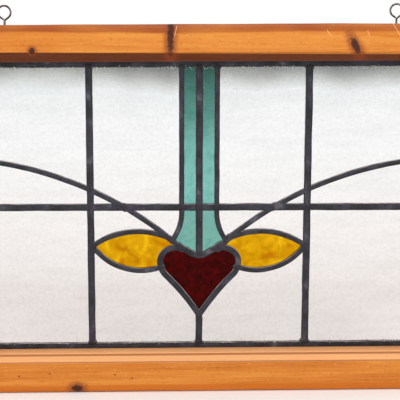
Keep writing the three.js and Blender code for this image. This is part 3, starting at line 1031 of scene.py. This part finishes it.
# %% Set out the circles
SWEEP = (270.4 - 323.9j, 376.2)
LEAF_TOP = (65.3 - 106.3j, 80.3)
LEAF_BOTTOM = (61.5 - 5.3j, 62.7)
FLARE = (COLUMN + 50.3 - 5.4j, 50.3)
LEAF_SHOULDER = 43
LINE_STEP = 2.5
SAME = 0.01
circles = (SWEEP, LEAF_TOP, LEAF_BOTTOM, FLARE)
print("radii:", [round(radius, 1) for centre, radius in circles])

# %% Draw arcs and curves


def circles_meet(first, second):
    """Both points where two circles meet, the one further right first."""
    across = second[0] - first[0]
    apart = abs(across)
    along = (first[1] ** 2 - second[1] ** 2 + apart ** 2) / (2 * apart)
    aside = math.sqrt(first[1] ** 2 - along ** 2)
    way = across / apart
    both = [first[0] + way * complex(along, side) for side in (aside, -aside)]
    return sorted(both, key=lambda point: -point.real)


def on_circle(circle, x):
    """The upper point of a circle at x."""
    centre, radius = circle
    return complex(x, centre.imag + math.sqrt(radius ** 2 - (x - centre.real) ** 2))


def arc(circle, start, end):
    """Points along a circle the short way round."""
    centre, radius = circle
    turn = cmath.phase((end - centre) / (start - centre))
    steps = max(1, math.ceil(abs(turn) * radius / LINE_STEP))
    return [
        centre + (start - centre) * cmath.exp(1j * turn * step / steps)
        for step in range(steps + 1)
    ]


def curve(*controls, steps=14):
    """Points along a Bezier curve of any order."""
    points = []
    for step in range(steps + 1):
        row = list(controls)
        while len(row) > 1:
            row = [a + (b - a) * step / steps for a, b in zip(row, row[1:])]
        points.append(row[0])
    return points


def straight(start, end):
    steps = max(1, round(abs(end - start) / LINE_STEP))
    return [start + (end - start) * step / steps for step in range(steps + 1)]


def joined(*lines):
    """One line from several that follow on."""
    points = [point for line in lines for point in line]
    return [p for i, p in enumerate(points) if i == 0 or abs(p - points[i - 1]) > SAME]


def crossing(line, circle, start=0):
    """Where a line first crosses a circle, and which of its lengths from start does."""
    centre, radius = circle
    for index in range(start, len(line) - 1):
        here, there = line[index:index + 2]
        inside, outside = abs(here - centre) - radius, abs(there - centre) - radius
        if inside * outside <= 0:
            return index, here + (there - here) * inside / (inside - outside)
    raise ValueError("the line never meets the circle")


def trimmed(line, start=0.0, end=0.0):
    """A line with a length taken off at its start and at its end."""
    for length in (end, start):
        line = line[::-1]
        while length > 0 and len(line) > 2 and abs(line[1] - line[0]) <= length:
            length -= abs(line[1] - line[0])
            line = line[1:]
        if length > 0:
            way = line[1] - line[0]
            line = [line[0] + way / abs(way) * length] + line[1:]
    return line


def mirrored(line):
    return [complex(-point.real, point.imag) for point in line]

print("a bay in", len(straight(0, BAY)), "points")

# %% [markdown]
# The heart is drawn for one side and mirrored, as a glazier folds the paper. Circles
# would make it too plump, so each half is four curves, and the places where other
# lines meet it are found on those.

# %% Draw the heart and the main lines
NOTCH, LOBE, FLANK = -51.9j, 22.8 - 43.2j, 41.5 - 57.6j
HEART_SHOULDER, HEART_TIP = 36.1 - 72.2j, -117j
BELOW_LOBE = 24
heart_half = joined(
    curve(NOTCH, 8.1 - 51.9j, 13.7 - 43.2j, LOBE),
    curve(LOBE, 33.7 - 43.2j, 41.5 - 49.8j, FLANK),
    curve(FLANK, 41.5 - 63.6j, 39.5 - 68.8j, HEART_SHOULDER, steps=8),
    curve(HEART_SHOULDER, 13.9 - 94.5j, HEART_TIP, steps=22),
)
heart_line = heart_half + mirrored(heart_half[1:-1])[::-1]

sweep_on_border = on_circle(SWEEP, SIGHT_X + BORDER / 2)
sweep_on_upright = on_circle(SWEEP, BAY)
half_chord = math.sqrt(SWEEP[1] ** 2 - SWEEP[0].imag ** 2)
sweep_on_crossbar = complex(SWEEP[0].real - half_chord, 0)
flare_end = circles_meet(SWEEP, FLARE)[1]
sweep_heart_index, sweep_on_heart = crossing(heart_half, SWEEP)
leaf_heart_index, leaf_on_heart = crossing(heart_half, LEAF_BOTTOM, BELOW_LOBE)
leaf_tip = circles_meet(LEAF_TOP, LEAF_BOTTOM)[0]
leaf_on_sweep = circles_meet(SWEEP, LEAF_TOP)[0]
flare_start = complex(COLUMN, FLARE[0].imag)
print("leaf tip", leaf_tip, "sweep on heart", sweep_on_heart)

# %% [markdown]
# ## Lead cames
# A came is a strip of lead with an H section: its two flanges hold the glass on both
# faces and a web stands between panes. Bending and dressing by hand leaves the crown
# a little uneven. A displace modifier would roughen it all alike, so each ring of the
# sweep is nudged by smooth noise, flange by flange. A came that meets another stops
# inside it, and solder closes the joint.

# %% Draw the section of a came
CHANNEL = 1.8
HALF_WEB = 0.6
CROWN_DROP = 0.45
EDGE_BEVEL = 0.55
EDGE_DROP = 0.5


def came_section(width):
    """Across the line, and (imaginary) in front of the panel's middle."""
    half, deep = width / 2, CAME_HALF_DEPTH
    crown = half - EDGE_BEVEL
    front = [
        complex(HALF_WEB, CHANNEL),
        complex(half - 0.15, CHANNEL),
        complex(half, CHANNEL + 0.2),
        complex(half - 0.12, deep - CROWN_DROP - EDGE_DROP),
        complex(half - 0.35, deep - CROWN_DROP - 0.2 * EDGE_DROP),
    ]
    for share in (1, 0.85, 0.65, 0.42, 0.2, 0):
        front.append(complex(crown * share, deep - CROWN_DROP * share ** 2.4))
    front += [complex(-spot.real, spot.imag) for spot in reversed(front[:-1])]
    return front + [complex(-spot.real, -spot.imag) for spot in front]

print("a narrow came has", len(came_section(NARROW)), "points round")

# %% Sweep a came along a line
SWAY = 0.35
DRESSED_DOWN = 0.1


def turnings(line, closed):
    """The mitred sideways direction at each point of a line."""
    ways = []
    count = len(line)
    for index, point in enumerate(line):
        before = point - line[index - 1] if closed or index else None
        has_next = closed or index < count - 1
        after = line[(index + 1) % count] - point if has_next else None
        first = 1j * (before or after) / abs(before or after)
        second = 1j * (after or before) / abs(after or before)
        dot = (first * second.conjugate()).real
        ways.append((first + second) / (1 + dot))
    return ways


def came(line, width, closed=False):
    """The points and faces of a came."""
    rings = []
    section = came_section(width)
    for point, way in zip(line, turnings(line, closed)):
        ring = []
        for spot in section:
            plane = point + way * spot.real
            here = Vector((plane.real, plane.imag, math.copysign(20, spot.imag)))
            sway = noise.noise(here * 0.045) * SWAY
            dent = noise.noise(here * 0.33) * 0.10 + noise.noise(here * 0.11) * 0.08
            at_flange = abs(spot.real) > 1
            at_face = abs(spot.imag) > 2
            depth = spot.imag + math.copysign(dent - DRESSED_DOWN, spot.imag) * at_face
            ring.append(place(plane + way * (sway + dent * 0.8) * at_flange, depth))
        rings.append(ring)
    return tube(rings, closed)

print("a short wide came has", len(came(straight(0, 10), WIDE)[1]), "faces")

# %% [markdown]
# Each lead runs a little into the next, so that no gap shows under the solder. They
# could be cut off square at each other's edges, but old leads are tucked under, and
# the overlap hides any slip in the drawing.

# %% Lay out the leads of one side
INTO = 1.3
UNDER = 4.5
INTO_WIDE, INTO_NARROW, INTO_HEART = (
    width / 2 - INTO for width in (WIDE, NARROW, HEART_CAME)
)


def level_line(start, end):
    return straight(complex(start, 0), complex(end, 0))


lead_lines = {
    "upright_lead": (
        straight(complex(BAY, -SIGHT_Z - INTO), complex(BAY, SIGHT_Z + UNDER)),
        WIDE,
    ),
    "crossbar_lead_outer": (level_line(BAY + INTO_WIDE, SIGHT_X + INTO), WIDE),
    "crossbar_lead_corner": (level_line(sweep_on_crossbar.real, BAY - INTO_WIDE), WIDE),
    "crossbar_lead_inner": (
        level_line(COLUMN + INTO_NARROW, sweep_on_crossbar.real),
        WIDE,
    ),
    "crossbar_lead_column": (level_line(INTO_WIDE, COLUMN - INTO_NARROW), WIDE),
    "sweep_lead_outer": (
        trimmed(arc(SWEEP, sweep_on_border, sweep_on_upright), 5, INTO_WIDE),
        NARROW,
    ),
    "sweep_lead_inner": (
        trimmed(joined(
            arc(SWEEP, sweep_on_upright, sweep_on_crossbar),
            arc(SWEEP, sweep_on_crossbar, flare_end),
            arc(SWEEP, flare_end, sweep_on_heart),
        ), INTO_WIDE, INTO_HEART),
        NARROW,
    ),
    "column_lead": (
        trimmed(joined(
            straight(complex(COLUMN, SIGHT_Z + UNDER), flare_start),
            arc(FLARE, flare_start, flare_end),
        ), 0, INTO_NARROW),
        NARROW,
    ),
    "leaf_lead_top": (
        trimmed(arc(LEAF_TOP, leaf_tip, leaf_on_sweep), 0.5, INTO_NARROW),
        NARROW,
    ),
    "leaf_lead_bottom": (
        trimmed(arc(LEAF_BOTTOM, leaf_tip, leaf_on_heart), 1.0, INTO_HEART),
        NARROW,
    ),
}
print(len(lead_lines), "leads a side")

# %% [markdown]
# The two sides match, so each lead is made once as drawn and once mirrored. A mirror
# modifier would save the second, but every piece has to stand for its own solid.

# %% Make every lead


def sided(stem, side):
    """The name of a solid on one side: the side stands after the word lead."""
    return stem.replace("_lead", f"_lead_{side}", 1)


def make_lead(name, line, width, closed=False):
    make_piece("dressed_" + name, *came(line, width, closed), lead, "lead", name)


for stem, (line, width) in lead_lines.items():
    for side, path in (("right", line), ("left", mirrored(line))):
        make_lead(sided(stem, side), path, width)
make_lead("heart_lead", heart_line, HEART_CAME, closed=True)
middle_foot = NOTCH + 1j * INTO_HEART
make_lead("column_lead_middle", straight(middle_foot, 1j * (SIGHT_Z + UNDER)), WIDE)
make_lead("stem_lead", straight(-1j * (SIGHT_Z + INTO), HEART_TIP - 2j), WIDE)
print(len(made), "pieces so far")

# %% [markdown]
# The border is the widest lead. Its top length follows the head of the sash down to
# one side, so that no light shows between them.

# %% Make the border leads
BORDER_PAST = 6
border_x, border_z = SIGHT_X + BORDER / 2, SIGHT_Z + BORDER / 2
for side, turn in TURNS.items():
    along, out = (border_x, border_z) if side in LEVEL_SIDES else (border_z, border_x)
    along += BORDER_PAST
    line = straight(complex(-along, out), complex(along, out))
    if side == "top":
        line = [settled(spot) for spot in line]
    make_lead(f"border_lead_{side}", [turn * spot for spot in line], BORDER)
print(len(made), "pieces so far")

# %% [markdown]
# ## Solder
# Wherever cames meet, a drop of solder joins them on both faces and stands as a low,
# uneven dome. Metaballs would melt into one another the way solder does, but they are
# slow and shapeless at this size. Each drop is rings of points pushed about by noise,
# whose rim sinks into the lead; all of them are one piece.

# %% Shape a drop of solder
SWELL = 0.22
RIM_SUNK = 0.55
DIMPLE = 0.25


def dome(centre, wide, high, turn, rise, front):
    """A low dome on the lead: half sizes along and across a direction, and its rise."""
    rings, sides = 6, 22
    points = [place(centre, (CAME_HALF_DEPTH + rise) * front)]
    for ring in range(1, rings + 1):
        share = ring / rings
        for step in range(sides):
            way = cmath.exp(2j * math.pi * step / sides)
            swell = 1 + SWELL * noise.noise(Vector((*pair(way), centre.real)) * 1.3)
            plane = complex(way.real * wide, way.imag * high) * share * swell
            depth = CAME_HALF_DEPTH - RIM_SUNK + (rise + RIM_SUNK) * (1 - share ** 2.5)
            here = Vector((*pair(plane), centre.imag)) * 0.8
            depth += DIMPLE * noise.noise(here) * (1 - share)
            points.append(place(centre + plane * turn, depth * front))
    rim = range(1 + (rings - 1) * sides, 1 + rings * sides)
    points.append(place(centre, (CAME_HALF_DEPTH - 2 * RIM_SUNK) * front))
    faces = []
    for step in range(sides):
        after = (step + 1) % sides
        faces.append((0, 1 + step, 1 + after))
        faces.append((rim[step], rim[after], len(points) - 1))
        for ring in range(rings - 1):
            inner, outer = 1 + ring * sides, 1 + (ring + 1) * sides
            faces.append((inner + step, inner + after, outer + after, outer + step))
    return points, faces

print("a drop has", len(dome(0j, 4, 3, 1, 0.5, 1)[1]), "faces")

# %% Drop solder on the joints


def way_of(line):
    """The direction in which a line sets out."""
    return (line[1] - line[0]) / abs(line[1] - line[0])


sweep_way = way_of(arc(SWEEP, sweep_on_crossbar, sweep_on_upright))
heart_sweep_way = way_of(arc(SWEEP, sweep_on_heart, flare_end))
# centre, half length, half width, direction, rise
joints = [
    (complex(BAY, 0), 4.6, 4.2, 1, 0.5),
    (sweep_on_upright, 4.4, 4.0, 1j, 0.5),
    (sweep_on_crossbar, 6.5, 4.0, sweep_way, 0.45),
    (complex(COLUMN, 0.3), 5.2, 4.2, 1, 0.9),
    (flare_end, 4.5, 3.4, heart_sweep_way, 0.5),
    (leaf_tip - 0.6, 5.0, 4.0, 1j, 0.8),
    (leaf_on_sweep, 5.5, 3.4, heart_sweep_way, 0.4),
    (sweep_on_heart + 1.5 + 1j, 6.5, 4.2, heart_sweep_way, 0.55),
    (leaf_on_heart, 4.2, 3.6, 1, 0.5),
    (complex(BAY, SIGHT_Z), 4.6, 3.8, 1, 0.5),
    (complex(BAY, -SIGHT_Z), 5.2, 3.6, 1, 0.5),
    (complex(COLUMN, SIGHT_Z), 4.0, 3.4, 1, 0.4),
    (complex(SIGHT_X, 0), 3.8, 4.4, 1, 0.5),
    (on_circle(SWEEP, SIGHT_X), 3.6, 3.6, 1, 0.4),
]
on_axis = [
    (0.3j, 5.2, 4.6, 1, 0.95),
    (NOTCH + 1.5j, 4.2, 3.4, 1, 0.45),
    (HEART_TIP - 2.2j, 5.2, 3.4, 1j, 0.5),
    (-1j * SIGHT_Z, 4.8, 3.4, 1, 0.5),
    (1j * SIGHT_Z, 4.4, 3.4, 1, 0.4),
]
other_side = [
    (mirrored([centre])[0], wide, high, complex(turn).conjugate(), rise)
    for centre, wide, high, turn, rise in joints
]
drops = [
    dome(*joint, front)
    for joint in joints + other_side + on_axis
    for front in (1, -1)
]
make_piece("solder_joints", *gather(drops), solder, "lead")
print(len(drops), "drops of solder")

# %% [markdown]
# ## Old cement
# Leaded lights are made weathertight with a putty-like cement, rubbed in under the
# flanges. After ninety years it crumbles out along the border: pale crumbs lie on the
# edge of the lead and glass. A particle system could strew them, but it would have to
# be frozen into meshes again, so each crumb is a small lump of eight faces, pulled
# out of shape by a seeded dice that falls the same way each time.

# %% Shape a crumb
CRUMB_WAYS = ((1, 0, 0), (0, 1, 0), (-1, 0, 0), (0, -1, 0), (0, 0, 1), (0, 0, -1))
CRUMB_FACES = [
    (0, 1, 4), (1, 2, 4), (2, 3, 4), (3, 0, 4),
    (1, 0, 5), (2, 1, 5), (3, 2, 5), (0, 3, 5),
]
crumb_dice = np.random.default_rng(19)


def crumb(centre, depth, radius):
    points = []
    for across, up, out in CRUMB_WAYS:
        reach = radius * crumb_dice.uniform(0.5, 1.3)
        points.append(place(centre + complex(across, up) * reach, depth + out * reach))
    return points, CRUMB_FACES

print("a crumb has", len(CRUMB_FACES), "faces")

# %% Scatter crumbs of cement along the border
CRUMB_COUNTS = {"top": 1100, "bottom": 620}
ON_GLASS, ON_LEAD = 1.8, 2.6
crumbs = []
for side, count in CRUMB_COUNTS.items():
    for along in crumb_dice.uniform(-SIGHT_X, SIGHT_X, count):
        thick = noise.noise(Vector((along * 0.05, 3 if side == "top" else 9, 0)))
        if thick < crumb_dice.uniform(-0.5, 0.35):
            continue
        inwards = crumb_dice.normal(0.4, 1.0)
        spot = complex(along, SIGHT_Z - inwards)
        spot = settled(spot) if side == "top" else spot.conjugate()
        depth = ON_GLASS if inwards > 0.4 else ON_LEAD
        crumbs.append(crumb(spot, depth, crumb_dice.uniform(0.25, 0.75)))
make_piece("cement_crumbs", *gather(crumbs), cement, "lead")
print(len(crumbs), "crumbs of cement")

# %% [markdown]
# ## Panes
# Each pane is cut to the middle of the leads round it, less what the webs take.
# Rolled cathedral glass is flat behind and softly rippled in front. A subdivided
# sheet trimmed by its outline leaves ragged rims, so each outline is filled with a
# lattice of points whose front ones are pushed in and out by smooth noise.

# %% Outline the panes
corner_top = complex(border_x, border_z)
pane_outlines = {
    "upper_outer": ("clear", [
        complex(BAY, border_z),
        *arc(SWEEP, sweep_on_upright, sweep_on_border),
        corner_top,
    ]),
    "outer_wedge": ("clear", [
        *arc(SWEEP, sweep_on_border, sweep_on_upright),
        complex(BAY, 0),
        complex(border_x, 0),
    ]),
    "lower_outer": ("clear", [
        complex(BAY, 0),
        complex(border_x, 0),
        corner_top.conjugate(),
        complex(BAY, -border_z),
    ]),
    "upper_inner": ("clear", [
        complex(COLUMN, border_z),
        complex(BAY, border_z),
        *arc(SWEEP, sweep_on_upright, sweep_on_crossbar),
        complex(COLUMN, 0),
    ]),
    "corner": ("clear", [
        *arc(SWEEP, sweep_on_upright, sweep_on_crossbar),
        complex(BAY, 0),
    ]),
    "spandrel": ("clear", [
        complex(COLUMN, 0),
        *arc(SWEEP, sweep_on_crossbar, flare_end),
        *arc(FLARE, flare_end, flare_start),
    ]),
    "over_leaf": ("clear", [
        complex(BAY, 0),
        *arc(SWEEP, sweep_on_crossbar, on_circle(SWEEP, LEAF_SHOULDER)),
        *arc(LEAF_TOP, on_circle(LEAF_TOP, LEAF_SHOULDER), leaf_tip),
        complex(BAY, leaf_tip.imag),
    ]),
    "leaf": ("amber", [
        *arc(LEAF_TOP, leaf_tip, leaf_on_sweep),
        *arc(SWEEP, leaf_on_sweep, sweep_on_heart),
        *heart_half[sweep_heart_index + 1:leaf_heart_index + 1],
        *arc(LEAF_BOTTOM, leaf_on_heart, leaf_tip),
    ]),
    "lower_inner": ("clear", [
        complex(BAY, leaf_tip.imag),
        *arc(LEAF_BOTTOM, leaf_tip, leaf_on_heart),
        *heart_half[leaf_heart_index + 1:],
        complex(0, -border_z),
        complex(BAY, -border_z),
    ]),
    "column_upper": ("teal", [
        0j,
        complex(COLUMN, 0),
        complex(COLUMN, border_z),
        complex(0, border_z),
    ]),
    "column_lower": ("teal", [
        0j,
        complex(COLUMN, 0),
        *arc(FLARE, flare_start, flare_end),
        *arc(SWEEP, flare_end, sweep_on_heart),
        *heart_half[:sweep_heart_index + 1][::-1],
    ]),
}
print(len(pane_outlines), "panes a side")

# %% [markdown]
# A pane is smaller than its gap by the web of the lead all round. Scaling it would
# leave it too small at its ends and too big at its waist, so every side is moved in
# by the same amount.

# %% Draw an outline smaller by what the webs take
GLASS_INSET = 0.9


def divided(outline, step):
    """A closed outline with its long sides divided."""
    line = []
    for here, there in zip(outline, outline[1:] + outline[:1]):
        steps = max(1, round(abs(there - here) / step))
        line += [here + (there - here) * share / steps for share in range(steps)]
    return line


def clear_of(points, outline, distance):
    """Which points are at least a distance from every point of an outline."""
    clear = np.ones(len(points), bool)
    for corner in outline:
        clear &= abs(np.array(points) - corner) > distance
    return clear


def inset(outline):
    """The outline anticlockwise and drawn smaller by what the webs take."""
    line = [p for i, p in enumerate(outline) if abs(p - outline[i - 1]) > SAME]
    area = sum((a.conjugate() * b).imag for a, b in zip(line, line[1:] + line[:1]))
    if area < 0:
        line.reverse()
    moved = [p + way * GLASS_INSET for p, way in zip(line, turnings(line, True))]
    keep = clear_of(moved, divided(line, 0.1), 0.98 * GLASS_INSET)
    return [point for point, kept in zip(moved, keep) if kept]


def inside(points, outline):
    """Which of an array of points lie inside an outline, by counting crossings."""
    odd = np.zeros(len(points), bool)
    for here, there in zip(outline, np.roll(outline, -1)):
        if here.imag == there.imag:
            continue
        spans = (here.imag > points.imag) != (there.imag > points.imag)
        share = (points.imag - here.imag) / (there.imag - here.imag)
        odd ^= spans & (points.real < here.real + share * (there.real - here.real))
    return odd

print("the heart shrinks to", len(inset(heart_line)), "points")

# %% [markdown]
# The front needs points inside the outline to ripple, and none too near its edge,
# where the triangles would be slivers. Triangles are drawn between them, and a rim
# joins front to back.

# %% Fill an outline with rippled glass
LATTICE = 3.0
RIPPLE_LOW = 0.1
CLOSEST = 1e-5


def ripple(point, reach):
    """How far the front of the glass stands proud at a point."""
    here = Vector((*pair(point), 3.3))
    return reach * (noise.noise(here * 0.06) + 0.6 * noise.noise(here * 0.19))


def glass_plate(outline, reach):
    """A flat back, a rippled front, and a rim along every edge used once."""
    edge = divided(inset(outline), LATTICE)
    low, high = (
        complex(pick(p.real for p in edge), pick(p.imag for p in edge))
        for pick in (min, max)
    )
    column, row = np.meshgrid(
        np.arange(1, math.ceil((high - low).real / LATTICE)),
        np.arange(1, math.ceil((high - low).imag / LATTICE)),
    )
    spots = low + LATTICE * (column + 0.5 * (row % 2) + 0.98j * row).ravel()
    spots = spots[inside(spots, np.array(edge))]
    lattice = list(spots[clear_of(spots, edge, 0.55 * LATTICE)])
    flat = [Vector(pair(p)) for p in edge + lattice]
    rim = [(i, (i + 1) % len(edge)) for i in range(len(edge))]
    filled = geometry.delaunay_2d_cdt(flat, rim, [], 1, CLOSEST)
    flat, triangles = filled[0], filled[2]
    spots = [complex(*p) for p in flat]
    count = len(spots)
    points = [place(p, GLASS_HALF_DEPTH - RIPPLE_LOW + ripple(p, reach)) for p in spots]
    points += [place(p, -GLASS_HALF_DEPTH) for p in spots]
    faces = [tuple(face) for face in triangles]
    faces += [tuple(corner + count for corner in reversed(face)) for face in triangles]
    used = {}
    for face in triangles:
        for ends in zip(face, list(face[1:]) + [face[0]]):
            used[tuple(sorted(ends))] = used.get(tuple(sorted(ends)), 0) + 1
    rim = [ends for ends, times in used.items() if times == 1]
    faces += [(a, b, b + count, a + count) for a, b in rim]
    return points, faces

print("the heart is cut into", len(glass_plate(heart_line, 0)[1]), "faces")

# %% [markdown]
# Each kind of glass has its own finish and depth of ripple. The panes of one side are
# mirrored to the other, and the heart stands on its own.

# %% Make the panes
# material, slot, reach of the ripple
glass_kinds = {
    "clear": (clear_glass, "clear_glass", 0.16),
    "teal": (teal_glass, "teal_glass", 0.14),
    "amber": (amber_glass, "amber_glass", 0.2),
    "red": (red_glass, "red_glass", 0.14),
}


def make_pane(name, kind, outline):
    material, slot, reach = glass_kinds[kind]
    make_piece("rippled_" + name, *glass_plate(outline, reach), material, slot, name)


for stem, (kind, outline) in pane_outlines.items():
    make_pane(f"glass_right_{stem}", kind, outline)
    make_pane(f"glass_left_{stem}", kind, mirrored(outline))
make_pane("glass_heart", "red", heart_line)
print(len(made), "pieces so far")

# %% [markdown]
# ## Screw eyes
# Two eyes of bent wire hold the window. Each is one length of round wire: a shank
# that goes into the rail and a ring bent round to meet it. A torus on a stick would
# look stamped, so the line of the wire is drawn first and a round section follows it,
# thinner at its tip.

# %% Sweep a round wire


def round_wire(line, radii, sides=14):
    """Points and faces of a round wire along points that lie nearly in one plane."""
    rings = []
    for index, point in enumerate(line):
        before = line[max(index - 1, 0)]
        after = line[min(index + 1, len(line) - 1)]
        way = (after - before).normalized()
        side = way.cross(Vector((0, 1, 0))).normalized()
        up = side.cross(way)
        rings.append([
            point + (side * math.cos(a) + up * math.sin(a)) * radii[index] * MM
            for a in (2 * math.pi * k / sides for k in range(sides))
        ])
    return tube(rings)

print("wire faces:", len(round_wire([Vector((0, 0, k)) for k in range(3)], [1] * 3)[1]))

# %% Bend the two eyes
WIRE_RADIUS = 1.0
RING_RADIUS = 6.5
RING_STEPS = 34
CLOSING = math.radians(52)
# height over the rail and radius of the wire, from the tip of the thread up
SHANK = ((-12.5, 0.6), (-9, 1.1), (-6, 1.2), (-3, 1.25), (0, 1.25))
EYE_TURNS = {"left": math.radians(22), "right": math.radians(-4)}


def bend_eye(side, turn):
    low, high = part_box(f"screw_eye_{side}")
    foot = Vector(((low.x + high.x) / 2, (low.y + high.y) / 2, SASH_HIGH.z))
    stand = (high.z - SASH_HIGH.z) / MM
    ring_height = stand - WIRE_RADIUS - RING_RADIUS
    neck = ring_height - RING_RADIUS / math.sin(CLOSING)
    stem = SHANK + ((neck * 0.5, 1.15), (neck, 1.05))
    flat = [complex(0, height) for height, radius in stem]
    radii = [radius for height, radius in stem]
    for step in range(RING_STEPS + 1):
        angle = -CLOSING + (math.pi + 2 * CLOSING) * step / RING_STEPS
        flat.append(complex(0, ring_height) + RING_RADIUS * cmath.exp(1j * angle))
        radii.append(WIRE_RADIUS)
    flat.append(complex(-0.9, neck + 0.9))
    radii.append(0.85)
    line = [
        foot + Vector((p.real * math.cos(turn), p.real * math.sin(turn), p.imag)) * MM
        for p in flat
    ]
    name = f"screw_eye_{side}"
    make_piece("wire_" + name, *round_wire(line, radii), steel, "eye_steel", name)


for side, turn in EYE_TURNS.items():
    bend_eye(side, turn)
print("eyes:", made[-2:])

# %% [markdown]
# ## Glazing beads
# Behind the panel, four slim beads close the rebate. Their inner edge is rounded.
# Boxes with a bevel would do, but the sweep that made the sash mitres their corners
# for nothing.

# %% Run the beads
bead_low, bead_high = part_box("glazing_bead_top")
BEAD_FRONT = (bead_low.y - SASH_LOW.y) / MM
BEAD_BACK = (bead_high.y - SASH_LOW.y) / MM
BEAD_GAP = 0.2
BEAD_SECTION = rounded(*zip(*[
    (complex(REBATE - 0.3, BEAD_BACK), 0.4),
    (complex(-1, BEAD_BACK), 3),
    (complex(-1, BEAD_FRONT), 0.5),
    (complex(REBATE - 0.3, BEAD_FRONT), 0.3),
]), steps=5)
for side in TURNS:
    make_piece(
        f"bead_{side}",
        *member(BEAD_SECTION, side, mitred_ends(side, BEAD_GAP)),
        bead_pine[side],
        "bead_pine",
        f"glazing_bead_{side}",
    )
print("beads:", made[-4:])

# %% [markdown]
